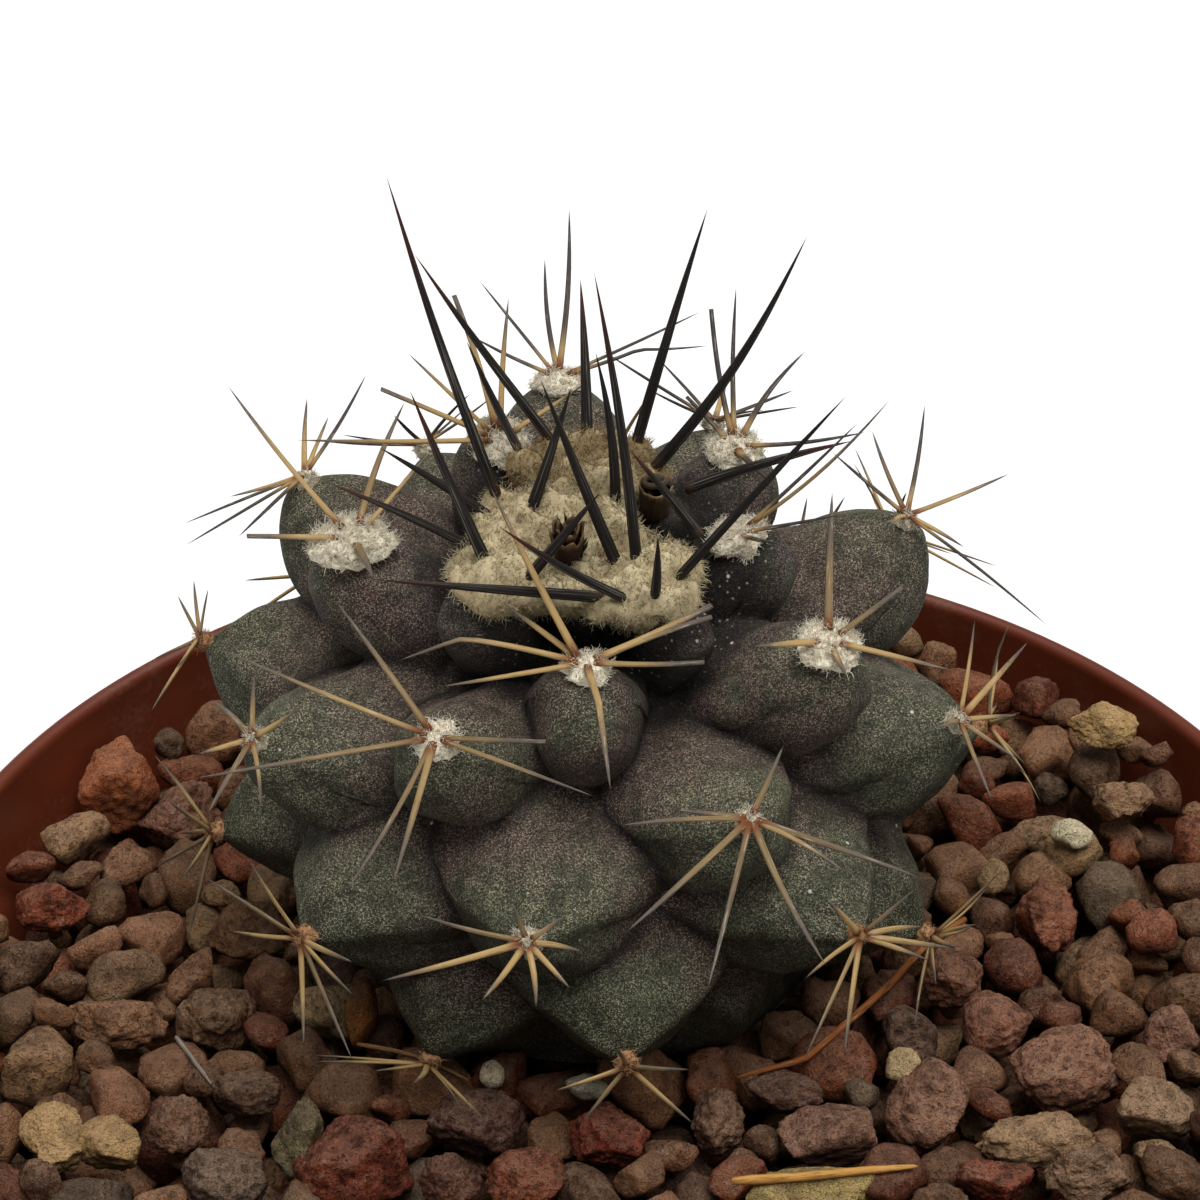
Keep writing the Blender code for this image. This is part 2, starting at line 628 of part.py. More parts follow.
def make_areole(k, segments, collection, material):
    seat, outward = areole_frame(k)[:2]
    name = f"areole_{k:02d}"
    pad = cushion(name, seat + outward * GAP, outward, pad_radius(k), PAD_HEIGHT, 1, collection)
    pad.data.materials.append(material)
    spines = new_collection(name + "_spines")
    for i, (root, tip) in enumerate(segments):
        needle(f"{name}_{i}", root, tip - root, SPINE_RADIUS, spines)
    bpy.context.view_layer.update()
    join(pad, spines)
    place_on_plant(pad)
    return pad


def make_crown(collection, material):
    """The wool of the growing point, with the black spines standing out of it and a hole for the flower."""
    lumps = new_collection("wool_lumps")
    floor = CROWN_SEAT + GAP
    for i, (x, y, radius, height) in enumerate(WOOL_LUMPS[1:]):
        cushion(f"lump_{i}", (x * MM, y * MM, floor), (0, 0, 1), radius * MM, height * MM, 2, lumps)
    for i, (root, tip) in enumerate(crown_segments()):
        needle(f"black_spine_{i}", root, tip - root, CROWN_SPINE_RADIUS, lumps, stout=True)
    x, y, radius, height = WOOL_LUMPS[0]
    crown = cushion("crown_wool", (x * MM, y * MM, floor), (0, 0, 1), radius * MM, height * MM, 2, collection)
    crown.data.materials.append(material)
    bpy.context.view_layer.update()
    join(crown, lumps)
    drills = new_collection("drills")
    bm = bmesh.new()
    radii = {"radius1": FLOWER_RADII[1] + GAP, "radius2": FLOWER_RADII[1] + GAP}
    bmesh.ops.create_cone(bm, cap_ends=True, segments=FLOWER_SIDES, depth=4 * FLOWER_HEIGHT, **radii)
    hole = new_object("flower_hole", mesh_from(bm, "flower_hole"), drills)
    hole.location = (*FLOWER_PLACE, CROWN_SEAT)
    bpy.context.view_layer.update()
    join(crown, drills, "DIFFERENCE")
    place_on_plant(crown)
    return crown


def make_flower(collection, material):
    """The dry remnant of a flower: a narrow cup with a ragged edge that stands in the wool."""
    bm = bmesh.new()
    radii = {"radius1": FLOWER_RADII[0], "radius2": FLOWER_RADII[1]}
    bmesh.ops.create_cone(bm, cap_ends=True, segments=FLOWER_SIDES, depth=FLOWER_HEIGHT, **radii)
    bmesh.ops.translate(bm, verts=bm.verts, vec=(0, 0, FLOWER_HEIGHT / 2))
    top = max(bm.faces, key=lambda face: face.calc_center_median().z)
    edge = list(top.verts)
    bmesh.ops.inset_individual(bm, faces=[top], thickness=FLOWER_WALL)
    for vert in top.verts:
        vert.co.z -= FLOWER_CUP
    for vert in edge[::2]:
        vert.co.z -= FLOWER_CUP / 2
    bmesh.ops.triangulate(bm, faces=bm.faces)
    flower = new_object("withered_flower", mesh_from(bm, "withered_flower"), collection, material)
    flower.location = (*FLOWER_PLACE, CROWN_SEAT + GAP)
    bpy.context.view_layer.update()
    place_on_plant(flower)
    return flower


def main():
    for obj in list(bpy.data.objects):
        bpy.data.objects.remove(obj)
    collection = new_collection("potted_copiapoa")
    brown_plastic = new_material("brown_plastic", (0.16, 0.045, 0.022), 0.5)
    lava_stone = new_material("lava_stone", (0.2, 0.12, 0.085), 0.9)
    cactus_skin = new_material("cactus_skin", (0.11, 0.105, 0.085), 0.8)
    cream_wool = new_material("cream_wool", (0.6, 0.53, 0.4), 1.0)
    horn_spine = new_material("horn_spine", (0.42, 0.3, 0.16), 0.6)
    dry_petal = new_material("dry_petal", (0.11, 0.045, 0.02), 0.8)
    make_pot(collection, brown_plastic)
    make_gravel(collection, lava_stone)
    make_body(collection, cactus_skin)
    make_crown(collection, cream_wool)
    make_flower(collection, dry_petal)
    for k, segments in areole_segments().items():
        make_areole(k, segments, collection, horn_spine)


main()
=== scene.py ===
"""Finishes a potted copiapoa cactus: its moulded pot, lava gravel, tubercled skin, spines and wool.

Laid out as an add-on and run as a script. Metres, +Z up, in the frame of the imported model.
"""

import math
import random

import bmesh
import bpy
import numpy as np
from bpy.props import FloatProperty, FloatVectorProperty, IntProperty, PointerProperty
from mathutils import Matrix, Vector, noise
from mathutils.bvhtree import BVHTree


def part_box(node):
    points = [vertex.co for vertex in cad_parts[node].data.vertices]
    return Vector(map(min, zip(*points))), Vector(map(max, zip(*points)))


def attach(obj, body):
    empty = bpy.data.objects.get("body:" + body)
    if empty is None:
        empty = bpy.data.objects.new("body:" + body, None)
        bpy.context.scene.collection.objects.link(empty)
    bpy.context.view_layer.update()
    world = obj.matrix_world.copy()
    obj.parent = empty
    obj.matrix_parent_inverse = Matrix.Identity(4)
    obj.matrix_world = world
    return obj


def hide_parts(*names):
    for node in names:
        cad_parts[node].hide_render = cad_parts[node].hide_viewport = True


bl_info = {
    "name": "Potted Copiapoa",
    "version": (1, 0, 0),
    "blender": (4, 5, 0),
    "location": "View3D > Sidebar > Copiapoa",
    "description": "Models and finishes a potted copiapoa cactus, piece by piece",
    "category": "Add Mesh",
}

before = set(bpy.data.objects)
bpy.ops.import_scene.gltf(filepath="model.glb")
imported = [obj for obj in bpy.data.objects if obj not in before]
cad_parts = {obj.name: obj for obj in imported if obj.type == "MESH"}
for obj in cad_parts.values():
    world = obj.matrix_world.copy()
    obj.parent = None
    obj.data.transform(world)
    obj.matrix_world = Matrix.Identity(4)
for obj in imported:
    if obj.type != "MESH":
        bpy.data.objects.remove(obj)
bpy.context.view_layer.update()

MM = 0.001
# Vertices closer than this are one
MERGED = 1e-6
# The noise of each stone starts at a place of its own up to this one
SEEDS = 50

# Pot, with the values of the solid model
RIM_RADIUS, _, POT_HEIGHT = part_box("pot")[1]
RIM_BAND = 9 * MM
RIM_STEP = 1.4 * MM
BASE_RADIUS = 38 * MM
WALL = 1.3 * MM
FLOOR_LIFT = 3 * MM
FOOT_WIDTH = 4 * MM
FOOT_EDGE = 0.5 * MM
POT_STEPS = 180
DRAIN_HOLES = 6
DRAIN_RADIUS = 3.5 * MM
DRAIN_RING = 24 * MM
DRILL_SIDES = 40
DRILL_DEPTH = 6 * WALL
GAP = 0.35 * MM
# The rolled lip: its arc in degrees, inside to outside, and the points on it
LIP_ARC = (190, -10)
LIP_POINTS = 9
LIP_WIDTH = 1.5 * MM
# Roundings inside the pot, under the rim band and along the band's lower edge
INNER_CORNER = 1 * MM
BAND_RISE = 1.2 * MM
BAND_EASE = 0.5 * MM
STEP_EASE = 0.35 * MM
BAND_EDGE = (0.12 * MM, 0.4 * MM)
SHARP_ANGLE = math.radians(40)

# Gravel
FILL_TOP = 61 * MM
SOIL_STEPS = 64
STONE_TOPS = 75.2 * MM
# The gravel lies lowest round the plant and highest at the right: level, rise to the wall and slope along X
STONE_LEVEL = 74.0 * MM
STONE_RISE = 6.2 * MM
STONE_SLOPE = 0.05
STONE_SEED = 23
# Stones are dropped until so many in a row find no place: in the bed, in the pile and last along the wall
BED_MISSES = 20
PILE_MISSES = 48
WALL_MISSES = 22
# How the places tried spread outwards: evenly over the area, or close to the wall
EVEN_SPREAD = 0.5
WALL_SPREAD = 0.12
# Depth under the surface of the layer that the stones below rest on
BEDDING = 4.5 * MM
# Draw of a stone's size between the smallest and the largest, and how much smaller the last ones are
SIZE_DRAW = (1.5, 2.2)
LAST_SHRINK = 0.55
# In radii of a stone: how near its neighbours, the wall and the plant come to its centre, how low it may lie
# over the soil, and how far its centre stays under the surface
TOUCH = 0.95
WALL_CLEAR = 0.85
PLANT_CLEAR = 0.8
SOIL_SEAT = 0.3
UNDER_TOP = 0.5
# The same for a marked stone: how far its centre lies under the surface, and how near a loose one settles
MARK_SINK = 0.2
LOOSE_TOUCH = 0.8
# The stone that props a marked one up: the drop that needs none, and radii in millimetres to choose from
PROP_SLACK = 0.3 * MM
PROP_SIZES = (0.4, 3.2)
PROP_CHOICES = 15
# A broken stone: number, depth and sharpness of its flat sides, the radius left between them, strength
# and size of its swells, how rough it is, its length, breadth and thickness, and how far it tips
CUT_COUNTS = (8, 14)
CUT_DEPTHS = (0.62, 0.98)
CUT_SHARPNESS = (11, 30)
UNCUT = 0.9
STONE_SWELLS = ((0.11, 0.6), (0.08, 0.24), (0.055, 0.12))
FINE_SWELL = (0.03, 0.06)
STONE_ROUGHNESS = (0.6, 1.4)
STONE_STRETCH = ((1.05, 1.35), (0.85, 1.05), (0.72, 0.92))
STONE_TIP = 0.35
MARK_THICKNESS = 0.9
# Tones of the stones in sRGB with the share of each, how much a stone strays from them, and draw of pores
STONE_TONES = (
    (0.32, (122, 86, 62)), (0.20, (102, 70, 51)), (0.17, (140, 100, 73)), (0.10, (130, 73, 47)),
    (0.07, (110, 58, 39)), (0.08, (152, 122, 92)), (0.04, (92, 75, 62)), (0.02, (190, 168, 128)),
)
TONE_STRAY = 0.16
HUE_STRAY = 0.03
PORE_DRAW = (1.2, 2.2)
# How finely each kind of stone is divided: those that stand out, those near the camera, the rest, and those
# that are hidden under others
STONE_DETAILS = {"chosen": 5, "near": 4, "far": 3, "under": 2}
# Which stones are hidden and which lie near the camera: in radii, how far their tops count above their
# centres, then the depth of hidden ones, and the depth and place along Y of near ones
TOP_SHARE = 0.6
HIDDEN_DEPTH = 5.5 * MM
NEAR_DEPTH = 2.5 * MM
NEAR_EDGE = -18 * MM
# Stones that stand out: the pixel of the photo at their middle, width and height in millimetres, sRGB tone
# and share of pores
MARKED_STONES = (
    (52, 1143, 5.2, 5.0, (206, 172, 124), 0.2), (108, 1147, 5.0, 4.3, (198, 164, 116), 0.2),
    (353, 1165, 8.6, 7.1, (124, 60, 42), 1.0), (226, 1178, 6.1, 4.8, (114, 96, 84), 0.8),
    (476, 1122, 7.1, 4.9, (100, 68, 60), 0.9), (115, 1021, 7.9, 5.1, (146, 108, 82), 0.5),
    (217, 1017, 6.1, 6.5, (126, 98, 76), 0.6), (120, 782, 7.0, 8.0, (168, 100, 66), 0.2),
    (181, 818, 6.9, 6.4, (138, 98, 82), 0.4), (51, 904, 6.1, 4.4, (130, 66, 46), 0.7),
    (247, 932, 6.5, 6.0, (122, 90, 66), 0.5), (298, 1140, 3.8, 6.2, (112, 104, 78), 0.3),
    (247, 1095, 5.1, 3.8, (106, 80, 64), 0.6), (178, 1127, 4.6, 4.3, (120, 86, 68), 0.6),
    (527, 1180, 5.9, 4.5, (138, 74, 52), 0.7), (450, 1182, 4.6, 4.0, (104, 66, 54), 0.6),
    (610, 1140, 5.8, 5.2, (140, 64, 46), 0.8), (718, 1123, 3.9, 5.2, (134, 102, 84), 0.7),
    (826, 1133, 7.0, 5.2, (156, 116, 100), 0.8), (784, 1094, 5.5, 4.0, (120, 90, 78), 0.5),
    (927, 1110, 6.1, 6.4, (150, 110, 92), 0.6), (1067, 1075, 8.1, 6.6, (154, 110, 92), 0.7),
    (1036, 1140, 8.5, 3.8, (182, 150, 118), 0.4), (1088, 1172, 5.8, 4.2, (154, 124, 102), 0.6),
    (1155, 1108, 5.8, 4.8, (170, 140, 114), 0.5), (998, 1027, 5.2, 5.0, (144, 96, 78), 0.6),
    (909, 1035, 4.2, 5.6, (98, 76, 64), 1.0), (1046, 923, 4.6, 6.4, (140, 84, 62), 0.5),
    (951, 979, 5.1, 5.1, (130, 88, 70), 0.6), (814, 1195, 9.6, 4.2, (190, 170, 112), 0.2),
    (995, 1185, 5.3, 3.8, (136, 62, 44), 1.0), (1104, 724, 5.8, 4.1, (196, 164, 116), 0.2),
    (1125, 798, 5.0, 4.3, (156, 124, 98), 0.4), (1153, 932, 3.9, 3.7, (146, 84, 62), 0.5),
    (1171, 1032, 3.9, 4.3, (156, 114, 98), 0.6),
    (362, 1012, 2.4, 5.6, (160, 108, 60), 0.0), (590, 1079, 3.6, 2.3, (242, 234, 216), 0.0),
    (1080, 762, 3.4, 2.3, (228, 212, 184), 0.0), (492, 1072, 1.8, 2.2, (226, 214, 192), 0.0),
)
# Marked stones smaller than this lie loose on top of the others
LOOSE_SIZE = 3.5
# Stones of more vertices than this have pits of their own
FINE_STONE = 600
# The marked stones from this size on are the finest of all
FINE_SIZE = 3.75
# Colour of the gravel's dust, over every stone
DUST = (1.12, 1.04, 0.9)
# Painted light: the stones are made lighter towards the back of the pot: places along Y and strengths
FAR_PAINTED_LIGHT = ((-20 * MM, 15 * MM), (1, 1.28))
# Dry bits lying on the stones: pixels of the photo along them, radius in millimetres and sRGB tone
DRY_BITS = (
    (((965, 919), (923, 948), (890, 984), (856, 1015), (805, 1059), (732, 1079)), 0.32, (146, 86, 42)),
    (((732, 1181), (800, 1177), (860, 1171), (920, 1166)), 0.34, (196, 144, 74)),
    (((357, 1044), (392, 1050), (425, 1058), (470, 1081)), 0.17, (150, 112, 70)),
    (((176, 1037), (192, 1058), (212, 1085)), 0.2, (136, 124, 112)),
)
# Sides and stations of a dry bit and its thickness along it, how often its heights are found again, how high
# it lies in radii, and over how many stations to each side it bridges
BIT_SIDES = 8
BIT_STATIONS = 30
BIT_TAPER = ((0, 0.1, 0.8, 1), (0.7, 1, 0.8, 0.35))
BIT_ROUNDS = 3
BIT_LIFT = 0.6
BIT_BRIDGE = 4

# Plant: the tips of the tubercles lie on a spheroid, and their order round it is the golden-angle spiral
PLANT_CENTRE = Vector((-2.3, 13.2, 89.0)) * MM
PLANT_LEAN = (math.radians(9.3), math.radians(1.3))
TIP_RADIUS = 30 * MM
TIP_HEIGHT = 21.8 * MM
GOLDEN_ANGLE = math.radians(137.45)
FIRST_AZIMUTH = math.radians(-56)
POLAR_RATE = math.radians(2.45)
POLAR_START = 4.74
POLAR_POWER = 1.075
FIRST_TUBERCLE = -4
LAST_TUBERCLE = 36
# Young tubercles are round knobs that bulge below their areole, and old ones are broad cones
YOUNG = {"drop": math.radians(5), "roundness": 2.5, "depth": 0.33}
OLD = {"drop": math.radians(1), "roundness": 1.05, "depth": 0.2}
OLD_POLAR = math.radians(75)
DEEPEST = 0.35
POLE_SINE = 0.12
# Where the grown plant strays from the rule: turn and drop in degrees, and reach
STRAY = {
    0: (0, 4, 1), 3: (0, -2, 1), 4: (-7, 0, 1.02), 5: (-5, 0, 1), 7: (-4, 0, 1.05), 8: (3, -1, 1.06),
    9: (-2, 0, 1.08), 11: (0, 0, 1.08), 12: (0, 0, 1.08), 13: (4, 0, 1), 15: (3, 1, 1.03), 16: (-2, 0, 1.01),
    18: (3, 0, 1), 20: (0, 0, 1.03), 21: (-3, 0, 1), 23: (3, 0, 1), 26: (-3, 0, 1),
}
# Depth and number of the flattened sides of an old tubercle, how they turn from one tubercle to the next,
# and how much longer some tubercles are downwards
FACETS = 0.1
FACET_SIDES = 5
FACET_TURN = 2.4
LONG_TUBERCLES = {5: 0.3}
# How far the skin's valleys wander, in the rounded space, and how far a tubercle sags over the one below it
SKIN_SWAY = 0.05
SKIN_SAG = 0.8 * MM
# The sway grows away from the middle of a tubercle: half widths over which, less a start, its size and seeds
SWAY_RAMP = (0.6, 0.5)
SWAY_SIZE = 0.3
SWAY_SEEDS = (3, 8, 13)
# How the sag grows below and above a tubercle's chin, as slope and start, and how near a valley it fades
SAG_BELOW = (2, 0.1)
SAG_ABOVE = (2.5, 1.4)
SAG_FADE = 0.05
# Along the angle from the plant's axis in degrees: how wide the painted shade of the creases is, and how
# sharp the valleys
CREASE_WIDTHS = ((30, 75), (0.045, 0.015))
VALLEY_SHARPNESS = ((30, 55, 80), (180, 110, 60))
# Strength and size of the swells of the skin, in the rounded space
SKIN_SWELLS = ((0.013, 0.24), (0.007, 0.1), (0.0025, 0.04))
# Painted shade and purple of the valleys: how fast it grows from a tubercle's middle, and strength and width
# of its bottom
VALLEY_SLOPE = 0.75
VALLEY_BOTTOM = (0.4, 0.03)
CROWN_SEAT = 19.6 * MM
# Skin above this height does not sag
SAG_TOP = CROWN_SEAT - 1 * MM
# Radius and height of the neck and tap root, from the collar down
ROOT_PROFILE = ((21, -13.8), (15.5, -19), (10.5, -23.5), (8, -29), (6, -37), (0, -38.5))
COLLAR_POLAR = math.radians(128)
COLLAR_BLEND = math.radians(16)
COLLAR_ON_BALL = math.radians(146)

# Areoles: radius of the felt pad, which is broad on the youngest tubercles
FIRST_AREOLE = 3
LAST_AREOLE = 31
AREOLE_SPAN = 0.06
PAD_RADII = {3: 2.3, 4: 2.3, 5: 1.7, 6: 2.2, 7: 3.0, 8: 2.4, 9: 2.0, 10: 1.6}
OLD_PAD_RADIUS = 1.1
PAD_HEIGHT = 1.0 * MM
# From this areole on the pads are tan, and this share of their size
TAN_FROM = 20
TAN_SHARE = 0.8
# The felt of a pad: seed, fineness, strength and size of its swells, how wide young and old pads spread in
# radii, their thickness and lift in pad heights, and the shade of old ones
PAD_SEED = 500
PAD_DETAIL = 4
PAD_SWELLS = ((0.34, 0.7), (0.2, 0.25))
YOUNG_SPREAD = 0.92
OLD_SPREAD = 0.75
PAD_THICKNESS = 0.75
PAD_LIFT = 0.15
OLD_SHADE = 0.9
# Its hairs: how many at least and more by area, which faces have them, how far they follow the face, stray
# and point outwards, their length in millimetres and how it grows with the pad, and their curl
PAD_HAIRS = (160, 130)
PAD_UNDERSIDE = -0.1
PAD_HAIR_WAYS = (0.55, 0.75, 0.25)
PAD_HAIR_LENGTHS = (0.3, 0.8)
PAD_HAIR_GROWTH = (0.7, 0.25)
PAD_CURL = 0.8

# Spines of the areoles seen from the front: clock hour with the crown at twelve, splay from the areole's
# own axis in degrees, length in millimetres
SPINES = {
    3: ((6.8, 75, 8.5), (5.3, 68, 11), (5.7, 62, 14), (9.5, 70, 6), (2.0, 70, 6)),
    4: ((3.3, 70, 17), (4.3, 70, 9), (5.1, 65, 8.5), (7.1, 60, 10), (6.3, 62, 10.5), (9.0, 70, 7)),
    5: (
        (11.5, 65, 13), (10.2, 70, 6.5), (8.8, 80, 12.5), (7.7, 80, 11), (1.3, 75, 9),
        (2.3, 75, 8.5), (3.3, 80, 7.5), (5.6, 85, 11.5),
    ),
    6: ((4.7, 62, 12), (4.3, 52, 10), (6.0, 65, 8.5), (3.1, 65, 4.5), (8.1, 72, 9.5), (10.0, 70, 7)),
    7: ((7.6, 65, 14), (10.2, 66, 7.5), (9.6, 70, 11), (5.6, 78, 6.5), (2.5, 75, 6)),
    8: ((1.9, 60, 10), (3.8, 65, 5.5), (5.8, 78, 8), (10.0, 75, 5.5), (7.5, 80, 3.5)),
    9: ((6.4, 60, 16), (6.1, 66, 12), (5.1, 68, 11), (4.0, 72, 7), (8.9, 70, 12), (8.5, 75, 12)),
    10: (
        (9.7, 65, 11), (8.5, 68, 15), (7.3, 75, 16), (5.6, 80, 14), (5.2, 78, 13),
        (3.2, 72, 14), (2.6, 72, 8),
    ),
    11: (
        (3.7, 65, 10), (2.6, 68, 7), (8.6, 80, 16), (8.1, 80, 5), (1.0, 70, 7),
        (10.5, 75, 5), (5.5, 70, 9),
    ),
    12: (
        (4.3, 80, 5.5), (3.8, 80, 10), (3.3, 82, 12), (2.8, 85, 9.5), (8.2, 68, 7.5),
        (9.3, 70, 9.5), (8.8, 72, 5.5),
    ),
    13: (
        (9.3, 75, 9.5), (9.7, 82, 5), (8.2, 78, 13), (7.3, 78, 13.5), (6.1, 75, 11.5),
        (4.6, 70, 11.5), (4.9, 76, 7), (1.5, 75, 5),
    ),
    15: ((6.6, 70, 3.5), (3.3, 72, 8), (4.4, 68, 7), (8.7, 72, 4), (10.5, 70, 4), (1.0, 72, 5)),
    16: ((2.1, 68, 7), (3.3, 65, 8), (8.4, 70, 8.5), (6.8, 62, 4.5), (4.8, 62, 4), (10.0, 72, 5)),
    18: (
        (8.3, 70, 9.5), (9.3, 72, 7), (7.0, 70, 4.5), (5.4, 70, 4), (4.2, 70, 4),
        (3.0, 74, 3.5), (1.6, 74, 3), (11.2, 64, 2.5),
    ),
    20: ((9.5, 62, 4.5), (8.4, 62, 5), (3.2, 82, 8), (2.4, 80, 6), (5.8, 62, 4), (11.5, 70, 4)),
    21: (
        (2.1, 68, 4.5), (3.4, 66, 4), (4.0, 70, 6.5), (4.4, 72, 5), (9.2, 72, 6.5),
        (8.1, 75, 9.5), (7.5, 70, 8), (10.9, 72, 5.5),
    ),
    23: (
        (9.5, 68, 7.5), (8.4, 68, 5), (10.8, 68, 6.5), (4.7, 70, 7), (3.5, 70, 10),
        (2.8, 74, 7), (2.2, 76, 6.5),
    ),
    26: ((4.1, 60, 5.5), (7.5, 66, 4.5), (9.0, 70, 5), (2.5, 70, 4), (11.5, 66, 3.5)),
}
SPINE_RING = 0.35
SPINE_SEAT = 0.45
# The star of spines on an areole that is out of sight in the photo: clock noise, splay in degrees and
# length in millimetres, which is greater on the young ones
STAR_SPINES = 7
STAR_NOISE = 0.3
STAR_SPLAYS = (64, 78)
STAR_LENGTHS = (5, 8.5)
STAR_YOUTH = (24, 4.5)
STAR_SEED = 5
# What a spine keeps off, and how far it is turned at each try until it does
KEEP_OFF = 0.95 * MM
FREE_FROM = 2.6 * MM
TRIES = 12
HOUR_STEP = 0.25
SPLAY_STEP = 5
LEAST_SPLAY = 5
LOWEST_TIP = 76.85 * MM

# Spines that are kinked, by areole and place in its list: share of the length, and turn in degrees
KINKS = {(5, 2): (0.62, 32), (5, 7): (0.45, 38), (9, 4): (0.5, 30), (6, 0): (0.55, -14)}
# Spines that are cut off blunt
BLUNT = {(5, 4), (5, 5), (5, 6), (7, 3), (4, 1), (4, 4), (6, 1), (6, 3), (8, 1), (10, 6)}
# Share of dark spines on the areoles that have them, and the areoles whose spines are worn grey
DARK_AREOLES = {6: 0.8, 9: 1, 11: 0.7, 12: 0.5, 14: 0.7, 17: 0.7, 3: 0.5}
GREY_AREOLES = {10, 13}
# How much stouter the spines of the youngest areoles are
STOUT_AREOLES = {4: 1.2, 5: 1.4, 6: 1.2, 7: 1.2, 8: 1.25}
# An areole's spines: seed, sides, stations, how flat they are, how much they thin on the way and at the
# point, height and length of the swell at the root, how they differ in thickness and shade, how far they bow
SPINE_SEED = 300
SPINE_SIDES = 8
SPINE_STATIONS = 12
SPINE_FLATNESS = 0.62
SPINE_THINNING = 0.25
POINT_THINNING = 0.68
ROOT_SWELL = (0.25, 0.06)
SPINE_STOUTNESS = (0.85, 1.25)
SPINE_SHADES = (0, 0.9)
GREY_SHADES = (0.65, 0.95)
SPINE_BOW = 0.022
# A hair: thickness left at its end, how hairs differ in thickness and by how much in shade
HAIR_END = 0.45
HAIR_SPREAD = (0.75, 1.3)
HAIR_SHADES = 0.6
# The space of a strand's streaks: size across it, a place of its own for each shade, and size along it
GRAIN_ACROSS = 1.6
GRAIN_SHIFTS = (37, 11)
GRAIN_ALONG = 1.6 * MM

# Wool of the growing point: how far it reaches, and its lumps of x, y, radius and height in millimetres,
# standing on the flat crown
WOOL_REACH = 11.5 * MM
WOOL_TOP = 4 * MM
# How far beyond the wool the low skin has painted shade, over what height above the crown it fades, and how
# dark it is
CROWN_SHADE = 2.5 * MM
LOW_SKIN = 1.5 * MM
CROWN_DARKNESS = 0.9
# How far the wool hangs into the valleys, and the share of its ball that makes its side
WOOL_HANG = 2.0 * MM
WOOL_SIDE = 0.3
# Towards the back the wool is older and browner, and partly in painted shade: places along Y, and how much
# its shade deepens there
OLD_AND_SHADED_WOOL = ((0.5 * MM, 5 * MM), (0, 0.75))
# How far its side draws in below
WOOL_TUCK = 0.2
WOOL_SEED = 77
WOOL_DETAIL = 6
# How the wool's side rounds off, how its raggedness changes down the side, and how deep it is sunk into the
# skin and raised over its lumps
WOOL_ROUND = 0.62
WOOL_STRETCH = 0.8
WOOL_PLAY = 0.25 * MM
# Strength and size of its ragged edge, of its tufts and of its grains, and how these paint shade on it
WOOL_EDGE = ((0.6, 0.35), (0.3, 0.13))
WOOL_TUFTS = ((0.5, 1.7 * MM),)
WOOL_GRAINS = ((0.34, 0.75 * MM), (0.22, 0.3 * MM))
WOOL_SHADE = (0.4, 1.4)
DEEPEST_SHADE = 1.3
# Its hairs: which faces have them, how far they follow the face and stray, length in millimetres and curl
WOOL_UNDERSIDE = -0.85
WOOL_HAIR_WAYS = (0.45, 0.8)
WOOL_HAIR_LENGTHS = (0.35, 1.1)
WOOL_CURL = 0.5
# Radius and height in millimetres of the tuft round a black spine's root, and radius and depth of the hollow
# that the flower stands in
TUFT = (1.5, 1.5)
FLOWER_HOLLOW = (2.4 * MM, 0.6)
WOOL_LUMPS = (
    (-2.0, 0, 4.3, 2.0), (-8.0, -6.4, 3.0, 2.2), (-7.0, -1.9, 2.3, 1.8), (3.6, -7.0, 3.3, 2.3),
    (4.9, -5.0, 2.4, 2.0), (-2.2, -5.2, 3.1, 1.5), (0.4, 3.6, 2.6, 2.8), (1.0, 7.4, 2.1, 2.2),
    (-4.6, 0.4, 2.6, 2.4), (-2.0, 4.6, 2.0, 1.8), (1.0, -2.0, 2.5, 2.5), (-5.2, -5.6, 2.4, 1.5),
)
# The skin is bare round the roots of the crown's spines from here on, in millimetres to the right
BARE_FROM = 6
# Black spines of the growing point: x and y of the root, azimuth, lean from the plant's axis, length
CROWN_SPINES = (
    (-7.2, 1.8, 141, 23.5, 25), (-3.5, 9, 160, 38, 17.5), (-7.4, -6.4, 145, 28, 14.5),
    (-5.3, -1, 60, 36, 10.5), (2.6, -5.7, 130, 14, 22.5), (1.3, -5.4, 148, 26, 15),
    (1.1, 0.6, 120, 16, 12.5), (2.5, 8.4, 45, 20, 19), (3.6, 5.6, 22, 32, 21), (4.9, -7, 0, 33, 19.5),
    (-5.2, -7, 10, 35, 9), (2.2, -8.8, -165, 48, 12.5), (0.4, -8.4, -160, 70, 17), (3.7, -9, -92, 18, 8.5),
    (6.2, 3.8, -10, 62, 13), (7, -1.5, 155, 45, 8), (-8.2, -3.8, 170, 68, 11.5), (-7.6, 0, 165, 62, 9.5),
    (-1, 9.5, 95, 45, 12), (-5.5, 6.6, 125, 52, 10),
)
CROWN_SPINE_ROOT = 1.0 * MM
CROWN_SPINE_SEED = 91
CROWN_SPINE_SIDES = 12
CROWN_SPINE_STATIONS = 18
CROWN_SPINE_THINNING = (0.3, 0.68, 2.6)
CROWN_SPINE_STOUTNESS = (0.85, 1.15)
FLOWER_PLACE = Vector((-2.3, -3.9, 0)) * MM
FLOWER_RADII = (0.75 * MM, 1.1 * MM)
FLOWER_HEIGHT = 4.5 * MM
FLOWER_SEED = 41
FLOWER_LEAN = 12
# Its two tubes: radii and height as shares of the flower's, and number of teeth
FLOWER_TUBES = (((1, 1), 0.72, 7), ((0.5, 0.6), 0.8, 5))
# Its scales, ring by ring from the middle: how far out they end in radii, and how many there are
SCALE_RINGS = ((0.5, 7), (0.85, 9), (1.05, 11))
SCALE_STATIONS = 7
SCALE_SIDES = 6
SCALE_RADIUS = 0.19 * MM
